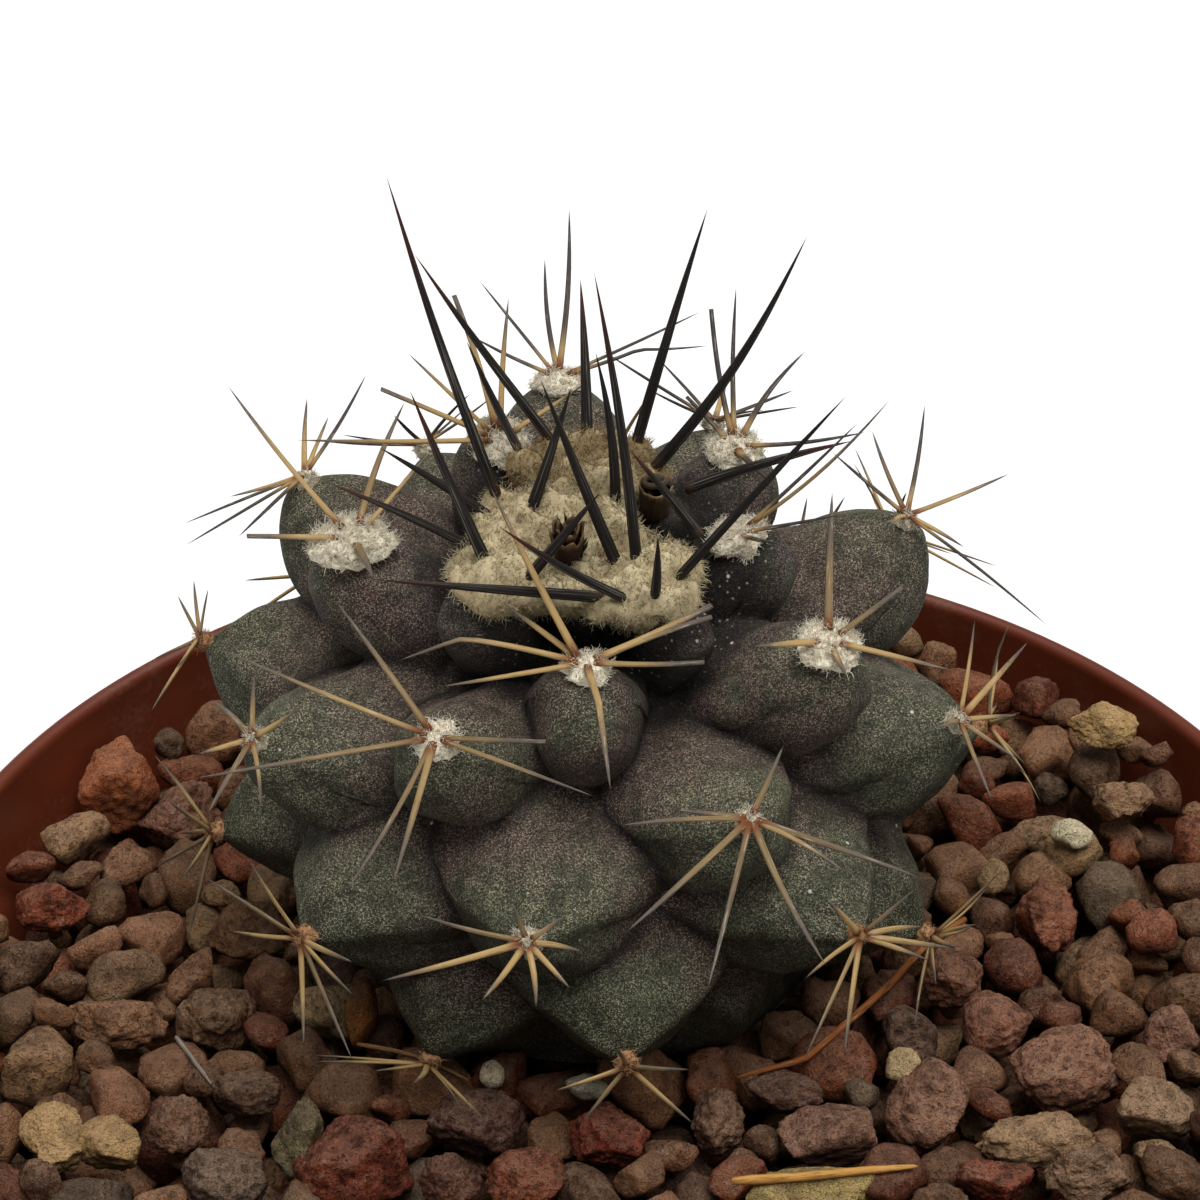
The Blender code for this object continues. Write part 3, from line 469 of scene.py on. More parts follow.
# How the scales differ: turn as a share of their spacing, how far out and how high they end as shares, bend
# of the end in millimetres, twist, waver along the way, and thickness; how they thin and how flat they are
SCALE_STRAY = 0.4
SCALE_REACHES = (0.8, 1.2)
SCALE_HEIGHTS = (0.35, 0.95)
SCALE_BENDS = (-0.6, 0.5)
SCALE_TWIST = 0.5
SCALE_WAVER = 0.05 * MM
SCALE_STOUTNESS = (0.7, 1.4)
SCALE_THINNING = 0.6
SCALE_FLATNESS = 0.7
# A thin tube: sides, rings, thickness, how far its teeth bend outwards, and their height as a share of it
TUBE_SIDES = 36
TUBE_RINGS = 12
TUBE_WALL = 0.14 * MM
TUBE_BEND = 0.2 * MM
TUBE_TORN = 0.25
# A dried bud behind it: root, lean towards the viewer in degrees, height, radii below and above, and number,
# bend and height of the teeth of its mouth
BUD_PLACE = (3.9 * MM, 2.4 * MM, 0)
BUD_LEAN = 8
BUD_HEIGHT = 2.7 * MM
BUD_RADII = (0.95 * MM, 1.05 * MM)
BUD_TEETH = 4
BUD_BEND = 0.06 * MM
BUD_TORN = 0.03
# Tones of the flower and the bud in sRGB
PETAL_TONE = (38, 18, 12)
BUD_TONE = (54, 44, 28)
# Its curled rim: half turns that it makes, how far it draws in at each, how it climbs, how deep it sits, its
# stations, sides and thickness
RIM_TURNS = 2.2
RIM_CURL = 0.16 * MM
RIM_CLIMB = 0.12 * MM
RIM_SINK = 0.1 * MM
RIM_STATIONS = 26
RIM_SIDES = 8
RIM_THICKNESS = 0.24 * MM

# Camera
VIEW_PITCH = math.radians(31.48)
VIEW_ANGLE = math.radians(28)
VIEW_DISTANCE = 184.05 * MM
PLANT_IN_VIEW = Vector((-5.7, 129.9))
HALF_FRAME = 600
FOCAL = HALF_FRAME / math.tan(VIEW_ANGLE / 2)
FLOOR_SIZE = 60
# Where the overhead light comes from
LIGHT_FROM = (0.14, -0.12, 1)


def linear(red, green, blue):
    """Linear colour of an sRGB colour given in steps of 0 to 255."""
    steps = (step / 255 for step in (red, green, blue))
    return tuple(s / 12.92 if s <= 0.04045 else ((s + 0.055) / 1.055) ** 2.4 for s in steps)


def colour(name, tone, description):
    return FloatVectorProperty(
        name=name, description=description, default=linear(*tone), subtype="COLOR", min=0, max=1
    )


def length(name, default, description):
    return FloatProperty(name=name, description=description, default=default, unit="LENGTH", precision=5)


class PotSettings(bpy.types.PropertyGroup):
    plastic: colour("Plastic", (108, 46, 24), "Colour of the moulded plastic")
    dust: colour("Dust", (150, 118, 92), "Colour of the dust and lime on the plastic")
    lip: length("Lip", 0.75 * MM, "Radius of the rolled lip")


class GravelSettings(bpy.types.PropertyGroup):
    smallest: length("Smallest", 2.0 * MM, "Radius of the smallest stones")
    largest: length("Largest", 4.4 * MM, "Radius of the largest stones")
    soil: colour("Soil", (34, 24, 19), "Colour of the fill between the stones")
    tries: IntProperty(name="Tries", description="Places tried for each stone", default=90, min=1)


class SkinSettings(bpy.types.PropertyGroup):
    green: colour("Green", (64, 69, 50), "Skin of the old tubercles")
    purple: colour("Purple", (83, 58, 57), "Skin of the young tubercles and of the valleys")
    speck: colour("Speck", (190, 180, 150), "Pale dots of the skin")
    detail: IntProperty(
        name="Detail", description="Cuts along each side of the ball", default=126, min=8, max=128
    )


class SpineSettings(bpy.types.PropertyGroup):
    radius: length("Radius", 0.21 * MM, "Radius of a radial spine near its root")
    crown_radius: length("Crown radius", 0.41 * MM, "Radius of a black crown spine near its root")
    base: colour("Base", (120, 70, 38), "Root of a radial spine")
    horn: colour("Horn", (178, 147, 96), "Middle of a radial spine")
    tip: colour("Tip", (98, 88, 78), "Point of a radial spine")
    black: colour("Black", (28, 22, 19), "Crown spines")


class WoolSettings(bpy.types.PropertyGroup):
    cream: colour("Cream", (212, 196, 158), "Wool of the growing point")
    white: colour("White", (252, 242, 218), "Wool of the areoles")
    tan: colour("Tan", (226, 178, 134), "Wool of the oldest areoles")
    thickness: length("Thickness", 0.026 * MM, "Radius of a hair at its root")
    hairs: IntProperty(name="Hairs", description="Hairs of the growing point", default=14000, min=0)


class StageSettings(bpy.types.PropertyGroup):
    floor: colour("Floor", (250, 250, 249), "Colour of the floor")
    key: FloatProperty(name="Key light", description="Strength of the light from overhead", default=3.05)
    softness: FloatProperty(
        name="Softness",
        description="Angle across the overhead light",
        default=math.radians(55),
        subtype="ANGLE",
    )
    sky: FloatProperty(name="Sky", description="Strength of the light from all round", default=0.24)


class Value:
    """A node's output that takes part in Python expressions, each of which adds a Math node."""

    def __init__(self, finish, socket):
        self.finish = finish
        self.socket = socket

    def math(self, operation, first, second):
        return self.finish.node("Math", {"operation": operation}, {0: first, 1: second})

    def __add__(self, other):
        return self.math("ADD", self, other)

    def __radd__(self, other):
        return self.math("ADD", other, self)

    def __sub__(self, other):
        return self.math("SUBTRACT", self, other)

    def __rsub__(self, other):
        return self.math("SUBTRACT", other, self)

    def __mul__(self, other):
        return self.math("MULTIPLY", self, other)

    def __rmul__(self, other):
        return self.math("MULTIPLY", other, self)


class Finish:
    """A material in the making: its nodes, its Principled shader and short names for the usual nodes."""

    def __init__(self, name, **constants):
        self.material = bpy.data.materials.new(name)
        self.material.use_nodes = True
        self.tree = self.material.node_tree
        self.shader = self.tree.nodes["Principled BSDF"]
        for socket, value in constants.items():
            self.shader.inputs[self.label(socket)].default_value = value
        self.place = self.node("TexCoord", output="Object")

    @staticmethod
    def label(socket):
        return socket.replace("_", " ").title().replace("Ior", "IOR")

    def node(self, kind, settings=None, inputs=None, output=0):
        node = self.tree.nodes.new("ShaderNode" + kind)
        for key, value in (settings or {}).items():
            setattr(node, key, value)
        for key, value in (inputs or {}).items():
            self.feed(node.inputs[key], value)
        return Value(self, node.outputs[output])

    def feed(self, socket, value):
        if isinstance(value, Value):
            self.tree.links.new(value.socket, socket)
        elif socket.type == "RGBA":
            socket.default_value = (*value[:3], 1)
        else:
            socket.default_value = value

    def set(self, **inputs):
        for socket, value in inputs.items():
            self.feed(self.shader.inputs[self.label(socket)], value)

    def noise(self, size, detail, roughness, place=None):
        inputs = {"Vector": place or self.place, "Scale": 1 / size, "Detail": detail}
        return self.node("TexNoise", None, {**inputs, "Roughness": roughness})

    def streaks(self, place, detail=3):
        """Noise in a space of its own, such as along a spine."""
        return self.noise(1.0, detail, 0.6, place)

    def stretched(self, scale):
        return self.node("Mapping", None, {"Vector": self.place, "Scale": scale})

    def cells(self, size, output="Distance"):
        return self.node("TexVoronoi", None, {"Vector": self.place, "Scale": 1 / size}, output)

    def chance(self, size):
        """A number of its own for each of the cells."""
        return self.node("SeparateColor", None, {0: self.cells(size, "Color")}, 0)

    def dots(self, size, radii, chances):
        """Dots in the cells that chance picks, fading between two radii."""
        return self.between(self.cells(size), *radii) * self.between(self.chance(size), *chances)

    def attribute(self, name, output="Fac"):
        return self.node("Attribute", {"attribute_name": name}, None, output)

    def grain(self):
        return self.attribute("grain", "Vector")

    def rising(self):
        """How far the surface faces up."""
        return self.node("SeparateXYZ", None, {0: self.node("NewGeometry", output="Normal")}, "Z")

    def mix(self, first, second, factor):
        return self.node("Mix", {"data_type": "RGBA"}, {0: factor, 6: first, 7: second}, 2)

    def layered(self, tone, *layers):
        """A tone under layers, each a tone and its mask."""
        for layer, mask in layers:
            tone = self.mix(tone, layer, mask)
        return tone

    def between(self, value, low, high, start=0.0, end=1.0):
        """Smooth step of a value, from start at low to end at high."""
        inputs = {0: value, 1: low, 2: high, 3: start, 4: end}
        return self.node("MapRange", {"interpolation_type": "SMOOTHSTEP"}, inputs)

    def bump(self, height, distance, strength=1.0, normal=None):
        inputs = {"Height": height, "Distance": distance, "Strength": strength}
        if normal:
            inputs["Normal"] = normal
        return self.node("Bump", None, inputs)


# Linear tones of the finishes
STONE_HOLLOW = (0.03, 0.017, 0.012)
STONE_PALE = (0.40, 0.28, 0.19)
# Paler tone of the stones' tops: partly dust, partly painted light
STONE_TOP = (0.33, 0.22, 0.15)
# Painted shade under the stones
STONE_UNDERSIDE_SHADE = (0.02, 0.011, 0.008)
# Painted shade in the stones' pores
STONE_PORE_SHADE = (0.022, 0.011, 0.007)
STONE_GRAIN = (0.56, 0.43, 0.32)
STONE_GRIT = (0.012, 0.006, 0.004)
STRAW_DARK = (0.05, 0.025, 0.012)
STRAW_PALE = (0.6, 0.45, 0.26)
SKIN_MAUVE = (0.075, 0.055, 0.066)
# Paler tone where the skin faces up
SKIN_PALE_TOP = (0.15, 0.12, 0.085)
SKIN_PEPPER = (0.006, 0.005, 0.004)
# Painted shade where the skin faces down
SKIN_UNDERSIDE_SHADE = (0.012, 0.010, 0.008)
# Painted shade along the creases and round the wool
SKIN_CREASE_SHADE = (0.006, 0.005, 0.005)
SKIN_FLECK = (0.6, 0.57, 0.5)
SKIN_GRAIN = (0.42, 0.39, 0.34)
HORN_SPECK = (0.03, 0.024, 0.02)
HORN_BLACK = (0.045, 0.04, 0.038)
HORN_STREAK = (0.04, 0.026, 0.018)
HORN_GLEAM = (0.6, 0.52, 0.38)
BLACK_WORN = (0.19, 0.175, 0.145)
BLACK_GROOVE = (0.005, 0.004, 0.003)
BLACK_POINT = (0.13, 0.032, 0.018)
BLACK_ROOT = (0.11, 0.06, 0.035)
WOOL_STAIN = (0.26, 0.15, 0.08)
PETAL_EDGE = (0.36, 0.22, 0.1)
# What is left of the red, green and blue of a wool's tone in its deepest shade
WOOL_DEPTHS = (0.4, 0.33, 0.25)


def times(strength, tone):
    return [strength * v for v in tone]


def plastic_finish(settings):
    """Brown plastic, a little cloudy, with lime and splashes of dust above the gravel."""
    finish = Finish("pot_plastic", specular_ior_level=0.45)
    height = finish.node("SeparateXYZ", None, {0: finish.place}, "Z")
    cloud = finish.noise(9 * MM, 4, 0.6)
    grit = finish.noise(0.5 * MM, 3, 0.7)
    lime = finish.between(cloud + grit * 0.5, 0.78, 1.0) * 0.16
    low = finish.between(height, POT_HEIGHT - 2 * MM, STONE_TOPS - 2 * MM)
    splash = low * finish.between(grit, 0.52, 0.75) * 0.08
    tone = finish.mix(settings.plastic, times(0.72, settings.plastic), cloud)
    grain = finish.noise(0.18 * MM, 2, 0.6)
    finish.set(
        base_color=finish.mix(tone, settings.dust, lime + splash),
        roughness=0.36 + cloud * 0.16 + lime * 0.4,
        normal=finish.bump(grain + cloud * 2, 0.02 * MM, 0.35),
    )
    return finish.material


def soil_finish(settings):
    finish = Finish("soil", specular_ior_level=0.2, roughness=0.95)
    crumbs = finish.noise(1.4 * MM, 5, 0.7)
    tone = finish.mix(settings.soil, times(2.2, settings.soil), finish.between(crumbs, 0.4, 0.7))
    finish.set(base_color=tone, normal=finish.bump(crumbs, 0.6 * MM))
    return finish.material


def stone_finish():
    """Crushed lava: each stone's own tint, mottled, with open pores, painted shade under it and in its
    pores, and a top paler partly by dust and partly by painted light.
    """
    finish = Finish("lava_stone", specular_ior_level=0.12)
    porous = finish.attribute("porous")
    cloud = finish.noise(2.2 * MM, 4, 0.65)
    grit = finish.noise(0.22 * MM, 3, 0.75)
    warp = finish.noise(0.7 * MM, 3, 0.7)
    pores = finish.between(finish.cells(0.95 * MM) + warp * 1.1, 0.6, 1.0)
    fine = finish.between(finish.cells(0.42 * MM) + warp * 0.8, 0.46, 0.8)
    open_share = 1 - porous * (1 - pores)
    pits = open_share * (1 - porous * 0.7 * (1 - fine))
    rising = finish.rising()
    tone = finish.layered(
        finish.attribute("tint", "Color"),
        (STONE_HOLLOW, finish.between(cloud, 0.58, 0.34) * 0.5),
        (STONE_PALE, finish.between(cloud + grit * 0.4, 0.72, 0.95) * 0.4),
        # Tops paler, partly dust and partly painted light
        (STONE_TOP, finish.between(rising + cloud * 0.8, 0.7, 1.5) * 0.3),
        # Painted shade on the faces that turn down
        (STONE_UNDERSIDE_SHADE, finish.between(rising, 0.2, -0.6) * 0.6),
        # Painted shade in the pores
        (STONE_PORE_SHADE, (1 - pits) * 0.6),
        (STONE_GRAIN, finish.between(grit, 0.56, 0.72) * 0.26),
        (STONE_GRIT, finish.between(grit, 0.42, 0.3) * 0.4),
    )
    relief = finish.bump(pits + warp * 1.6, 0.5 * MM)
    relief = finish.bump(grit + cloud * 0.8, 0.3 * MM, 1.0, relief)
    finish.set(base_color=tone, roughness=0.9 + grit * 0.1, normal=relief)
    return finish.material


def litter_finish():
    """Dry stalks, streaked along their grain."""
    finish = Finish("dry_litter", specular_ior_level=0.2)
    streak = finish.streaks(finish.grain())
    tone = finish.layered(
        finish.attribute("tint", "Color"),
        (STRAW_DARK, finish.between(streak, 0.5, 0.72) * 0.7),
        (STRAW_PALE, finish.between(streak, 0.45, 0.3) * 0.4),
    )
    finish.set(base_color=tone, roughness=0.6 + streak * 0.3, normal=finish.bump(streak, 0.08 * MM))
    return finish.material


def skin_finish(settings):
    """Waxy grey-green skin with pale grains, purple on the young tubercles and in the valleys, with painted
    shade in the valleys, the creases and where it faces down.
    """
    finish = Finish(
        "cactus_skin", specular_ior_level=0.28, subsurface_weight=0.03, subsurface_scale=1.2 * MM
    )
    green = settings.green
    purple = settings.purple
    valley = finish.attribute("valley")
    crease_shade = finish.attribute("crease_shade")
    young = finish.attribute("young")
    rising = finish.rising()
    patch = finish.noise(7 * MM, 3, 0.6)
    cloud = finish.noise(1.7 * MM, 4, 0.65)
    blotch = finish.noise(3.4 * MM, 4, 0.7, finish.stretched((1.2, 1, 1)))
    bloom = finish.between(finish.noise(5 * MM, 3, 0.6, finish.stretched((1, 1, 0.6))), 0.52, 0.72)
    # Paler where the skin faces up
    pale_upward = finish.between(rising + cloud * 0.7, 0.85, 1.45)
    grain = finish.noise(0.15 * MM, 2, 0.85)
    # The pale grains are dimmer in the valleys: painted shade
    bright = (1 - valley * 0.45) * (finish.between(cloud, 0.34, 0.6, 0.22, 0.8) + pale_upward * 0.2)
    salt = finish.dots(0.12 * MM, (0.55, 0.2), (0.35, 0.95))
    salted = finish.between(cloud * 0.7 + patch * 0.6, 0.5, 0.8, 0.3, 0.9)
    grains = finish.dots(0.45 * MM, (0.28, 0.12), (0.55, 0.75)) * finish.between(young, 0.58, 0.7)
    scratch = finish.noise(1.0, 2, 0.5, finish.stretched((900, 2600, 5200)))
    tone = finish.layered(
        green,
        (purple, finish.between(young * 0.55 + valley * 0.5 + patch * 0.9, 0.66, 1.12)),
        (SKIN_MAUVE, finish.between(young, 0.5, 0.66) * 0.5),
        (times(0.4, green), finish.between(cloud, 0.57, 0.36) * 0.72),
        (times(0.42, purple), finish.between(blotch, 0.52, 0.7) * 0.5),
        # Painted shade in the valleys
        (times(0.36, purple), finish.between(valley, 0.62, 1.2) * 0.8),
        # Bloom, dimmed in the valleys by painted shade
        (times(2.1, green), bloom * (1 - valley * 0.6) * 0.6),
        (SKIN_PALE_TOP, pale_upward * 0.16),
        (SKIN_PEPPER, finish.between(grain, 0.52, 0.37) * 0.9),
        (settings.speck, finish.between(grain, 0.55, 0.68) * bright),
        (settings.speck, salt * salted),
        # Painted shade where the skin faces down
        (SKIN_UNDERSIDE_SHADE, finish.between(rising, 0.4, -0.3) * 0.45),
        # Painted shade along the creases and on the low skin round the wool
        (SKIN_CREASE_SHADE, crease_shade * 0.9),
        (SKIN_FLECK, finish.dots(2.6 * MM, (0.07, 0.03), (0.72, 0.74))),
        (SKIN_GRAIN, grains * (crease_shade * 0.6 + 0.25)),
        (settings.speck, finish.between(scratch, 0.68, 0.78) * 0.3),
    )
    relief = finish.bump(salt * 0.8 + grain * 0.8, 0.06 * MM)
    relief = finish.bump(cloud, 0.3 * MM, 0.6, relief)
    finish.set(base_color=tone, roughness=0.68 + grain * 0.2, normal=relief)
    return finish.material


def radial_spine_finish(settings):
    """Horny spine: brown root, straw middle, grey point, with fine fibres along it."""
    finish = Finish("horn_spine", specular_ior_level=0.3)
    along = finish.attribute("along")
    tint = finish.attribute("shade")
    fibre = finish.streaks(finish.grain())
    specks = finish.between(finish.noise(0.25 * MM, 2, 0.7), 0.6, 0.72) * finish.between(along, 0.3, 0.9)
    dark = finish.between(tint, 0.98, 1.02) * finish.between(along, 0.05, 0.3)
    worn = finish.between(tint, 0.5, 0.95) * finish.between(tint, 1.02, 0.98)
    middle = finish.mix(settings.horn, times(0.5, settings.tip), worn * 0.7)
    tone = finish.layered(
        settings.base,
        (middle, finish.between(along + fibre * 0.1, 0.07, 0.2)),
        (settings.tip, finish.between(along + tint * 0.25 + fibre * 0.2, 0.62, 1.1)),
        (HORN_SPECK, specks * 0.8),
        (HORN_BLACK, dark * 0.9),
        (HORN_STREAK, finish.between(fibre, 0.56, 0.78) * 0.7),
        (HORN_GLEAM, finish.between(fibre, 0.42, 0.3) * 0.5),
    )
    finish.set(base_color=tone, roughness=0.5 + fibre * 0.3, normal=finish.bump(fibre, 0.04 * MM))
    return finish.material


def crown_spine_finish(settings):
    """Black-brown spine with grey fibrous streaks and, on some, a reddish point."""
    finish = Finish("black_spine", specular_ior_level=0.25)
    along = finish.attribute("along")
    tint = finish.attribute("shade")
    drawn_out = finish.node("VectorMath", {"operation": "MULTIPLY"}, {0: finish.grain(), 1: (2.2, 2.2, 0.2)})
    fibre = finish.streaks(drawn_out, 4)
    worn = finish.between(fibre, 0.54, 0.66) * finish.between(tint, 0.0, 1.0, 0.3, 0.85)
    red = finish.between(along, 0.6, 1.0) * finish.between(tint, 0.55, 0.75) * 0.75
    tone = finish.layered(
        settings.black,
        (BLACK_WORN, worn),
        (BLACK_GROOVE, finish.between(fibre, 0.45, 0.34) * 0.7),
        (BLACK_POINT, red),
        (BLACK_ROOT, finish.between(along, 0.1, 0.0) * 0.6),
    )
    finish.set(base_color=tone, roughness=0.55 + fibre * 0.3, normal=finish.bump(fibre, 0.14 * MM))
    return finish.material


def wool_finish(name, tone, depth):
    """Felt of fine hairs, browner where its shade is deeper: painted shade on the crown's wool, older felt
    and random tone on the pads.
    """
    finish = Finish(
        name, specular_ior_level=0.15, roughness=1.0, subsurface_weight=0.1, subsurface_scale=0.8 * MM
    )
    cloud = finish.noise(1.7 * MM, 3, 0.6)
    shaded = [share * v for share, v in zip(WOOL_DEPTHS, tone)]
    tone = finish.layered(
        tone,
        (shaded, finish.attribute("shade") * depth),
        (WOOL_STAIN, finish.between(cloud, 0.54, 0.75) * 0.4),
    )
    finish.set(base_color=tone, normal=finish.bump(finish.noise(0.16 * MM, 3, 0.7), 0.12 * MM))
    return finish.material


def petal_finish(name, tone):
    """Dry brown tissue with streaks and a paler, torn edge."""
    finish = Finish(name, specular_ior_level=0.3)
    streak = finish.streaks(finish.grain())
    edge = finish.attribute("along")
    here = linear(*tone)
    tone = finish.layered(
        times(0.5, here),
        (times(1.7, here), finish.between(streak, 0.35, 0.7)),
        (PETAL_EDGE, finish.between(edge + streak * 0.5, 1.02, 1.4) * 0.5),
    )
    finish.set(base_color=tone, roughness=0.55 + streak * 0.3, normal=finish.bump(streak, 0.05 * MM))
    return finish.material


def floor_finish(settings):
    finish = Finish("pale_floor", specular_ior_level=0.1)
    cloud = finish.noise(120 * MM, 3, 0.5)
    tone = finish.mix(settings.floor, times(0.985, settings.floor), cloud)
    finish.set(base_color=tone, roughness=0.85 + cloud * 0.1)
    return finish.material


def tubercle_polar(k):
    """Angle from the plant's axis to tubercle k, which grows steadily down the spiral."""
    return POLAR_RATE * (k + POLAR_START) ** POLAR_POWER


def tubercle_direction(k, drop=0.0):
    """Unit vector to tubercle k in the plant's rounded space, where the tips lie on a unit sphere."""
    turn, stray_drop, _ = STRAY.get(k, (0, 0, 1))
    polar = max(tubercle_polar(k) + drop + math.radians(stray_drop), 0.0)
    azimuth = FIRST_AZIMUTH + GOLDEN_ANGLE * k + math.radians(turn)
    flat = math.sin(polar)
    return np.array((flat * math.cos(azimuth), flat * math.sin(azimuth), math.cos(polar)))


def tubercle_width(k):
    """Angular spacing of the tubercles round k: the root of the share of the sphere that each one has."""
    polar = tubercle_polar(k)
    rate = POLAR_RATE * POLAR_POWER * (k + POLAR_START) ** (POLAR_POWER - 1)
    return math.sqrt(2 * math.pi * max(math.sin(polar), POLE_SINE) * rate)


def by_age(name, k):
    """A value of tubercle k between the youngest one's and that of the old ones."""
    age = min(tubercle_polar(k) / OLD_POLAR, 1)
    return YOUNG[name] + (OLD[name] - YOUNG[name]) * age


TUBERCLES = range(FIRST_TUBERCLE, LAST_TUBERCLE + 1)
CHINS = np.array([tubercle_direction(k, by_age("drop", k)) for k in TUBERCLES])
HALF_WIDTHS = np.array([tubercle_width(k) / 2 for k in TUBERCLES])
ROUNDNESS = np.array([by_age("roundness", k) for k in TUBERCLES])
DEPTH = np.array([by_age("depth", k) for k in TUBERCLES])
REACH = np.array([STRAY.get(k, (0, 0, 1))[2] for k in TUBERCLES])
SPHEROID = np.array((TIP_RADIUS, TIP_RADIUS, TIP_HEIGHT))


def skin_reaches(directions):
    """How far out each tubercle would have the skin, in the rounded space, for each direction."""
    near = np.arccos(np.clip(directions @ CHINS.T, -1, 1))
    return REACH - DEPTH * (near / HALF_WIDTHS) ** ROUNDNESS


def grown_reaches(directions):
    """The same with what the rule leaves out: flattened sides on the old tubercles, and long ones."""
    near = np.arccos(np.clip(directions @ CHINS.T, -1, 1))
    down = unit(CHINS * CHINS[:, 2:] - np.array((0, 0, 1)))
    east = np.cross(CHINS, down)
    along = directions @ down.T - (CHINS * down).sum(axis=1)
    turn = np.arctan2(directions @ east.T, along)
    age = np.clip(np.array([tubercle_polar(k) for k in TUBERCLES]) / OLD_POLAR, 0, 1)
    sides = 1 - FACETS * age * np.cos(FACET_SIDES * turn + FACET_TURN * np.arange(len(CHINS)))
    for k, stretch in LONG_TUBERCLES.items():
        i = k - FIRST_TUBERCLE
        sides[:, i] *= 1 - stretch * np.clip(np.cos(turn[:, i]), 0, 1) ** 3
    return REACH - DEPTH * (near * sides / HALF_WIDTHS) ** ROUNDNESS


def skin_reach(directions):
    """How far out the skin lies in the rounded space: 1 at the tips and less in the valleys between them."""
    return np.maximum(skin_reaches(directions).max(axis=1), 1 - DEEPEST)


def body_points(directions, reach=None):
    """Points of the skin for unit vectors in the rounded space, flat under the wool, with neck and root."""
    if reach is None:
        reach = skin_reach(directions)
    polar = np.arccos(np.clip(directions[:, 2], -1, 1))
    points = directions * reach[:, None] * SPHEROID
    points[:, 2] = np.minimum(points[:, 2], CROWN_SEAT)
    share = np.clip((polar - COLLAR_POLAR) / (math.pi - COLLAR_POLAR), 0, 1)
    stops = np.linspace(0, 1, len(ROOT_PROFILE))
    radius = np.interp(share, stops, [r * MM for r, _ in ROOT_PROFILE])
    height = np.interp(share, stops, [z * MM for _, z in ROOT_PROFILE])
    azimuth = np.arctan2(directions[:, 1], directions[:, 0])
    root = turned_points(radius, azimuth, height)
    mix = np.clip((polar - COLLAR_POLAR + COLLAR_BLEND) / COLLAR_BLEND, 0, 1)
    mix = (mix * mix * (3 - 2 * mix))[:, None]
    return points * (1 - mix) + root * mix


def areole_frame(k):
    """Seat of areole k, and its directions outwards, to the crown and to three o'clock."""
    centre = tubercle_direction(k)
    east = np.cross((0, 0, 1), centre)
    east /= np.linalg.norm(east)
    north = np.cross(centre, east)
    ring = np.array([centre + AREOLE_SPAN * side for side in (east, -east, north, -north)])
    ring /= np.linalg.norm(ring, axis=1)[:, None]
    around = body_points(ring)
    outward = Vector(np.cross(around[0] - around[1], around[2] - around[3])).normalized()
    seat = Vector(body_points(centre[None])[0])
    to_apex = Vector((0, 0, 1.5 * TIP_HEIGHT)) - seat
    crownward = (to_apex - outward * to_apex.dot(outward)).normalized()
    return seat, outward, crownward, crownward.cross(outward)


def plant_matrix():
    lean = Matrix.Rotation(PLANT_LEAN[1], 4, "Y") @ Matrix.Rotation(PLANT_LEAN[0], 4, "X")
    return Matrix.Translation(PLANT_CENTRE) @ lean


def view_axes():
    """Directions to the right, upwards and forwards as the camera sees them."""
    forward = Vector((0, math.cos(VIEW_PITCH), -math.sin(VIEW_PITCH)))
    up = Vector((0, math.sin(VIEW_PITCH), math.cos(VIEW_PITCH)))
    return Vector((1, 0, 0)), up, forward


def camera_place():
    right, up, forward = view_axes()
    offset = right * PLANT_IN_VIEW.x - up * PLANT_IN_VIEW.y
    return PLANT_CENTRE - forward * VIEW_DISTANCE - offset * VIEW_DISTANCE / FOCAL


def seen_at(pixel_x, pixel_y, height):
    """Point of the given height on the line of sight through a pixel of the photo."""
    right, up, forward = view_axes()
    way = forward * FOCAL + right * (pixel_x - HALF_FRAME) - up * (pixel_y - HALF_FRAME)
    place = camera_place()
    return place + way * ((height - place.z) / way.z)


def wall_radius(height):
    """Outer radius of the pot's tapered wall under the rim band."""
    return BASE_RADIUS + (RIM_RADIUS - RIM_STEP - BASE_RADIUS) * height / (POT_HEIGHT - RIM_BAND)


def spine_direction(frame_here, hour, splay):
    """Direction of a spine at a clock position seen from outside, with the crown at twelve."""
    _, outward, crownward, three = frame_here
    turn = math.radians(30 * hour)
    flat = crownward * math.cos(turn) + three * math.sin(turn)
    tilt = math.radians(splay)
    return outward * math.cos(tilt) + flat * math.sin(tilt)


def spines_of(k):
    """The spines of areole k: those listed, or for an areole that is out of sight a star of them by rule."""
    if k in SPINES:
        return SPINES[k]
    draw = random.Random(STAR_SEED + k)
    last_young, added = STAR_YOUTH
    extra = added * max(0.0, 1 - k / last_young)
    spines = []
    for i in range(STAR_SPINES):
        hour = 12 * (i + 0.4 + draw.uniform(-STAR_NOISE, STAR_NOISE)) / STAR_SPINES
        spines.append((hour, draw.uniform(*STAR_SPLAYS), draw.uniform(*STAR_LENGTHS) + extra))
    return spines


def gaps_to_segments(points, segments):
    """Distance from each point to each straight segment."""
    starts = np.array([a for a, _ in segments])
    runs = np.array([b for _, b in segments]) - starts
    offsets = points[:, None] - starts
    share = np.clip((offsets * runs).sum(axis=2) / (runs * runs).sum(axis=1), 0, 1)
    return np.linalg.norm(offsets - share[..., None] * runs, axis=2)


def is_clear(root, tip, others):
    """Whether a spine stays off the skin, the crown's wool, the gravel and the spines and pads around it."""
    points = np.array([root.lerp(tip, share) for share in np.linspace(0.1, 1, 19)])
    if others and gaps_to_segments(points, others).min() < KEEP_OFF:
        return False
    away = points[np.linalg.norm(points - np.array(root), axis=1) > FREE_FROM]
    rounded = away / SPHEROID
    reach = np.linalg.norm(rounded, axis=1)
    if (reach < skin_reach(rounded / reach[:, None]) + KEEP_OFF / TIP_RADIUS).any():
        return False
    in_wool = (np.hypot(away[:, 0], away[:, 1]) < WOOL_REACH) & (away[:, 2] < CROWN_SEAT + WOOL_TOP)
    return not in_wool.any() and (plant_matrix() @ tip).z > LOWEST_TIP


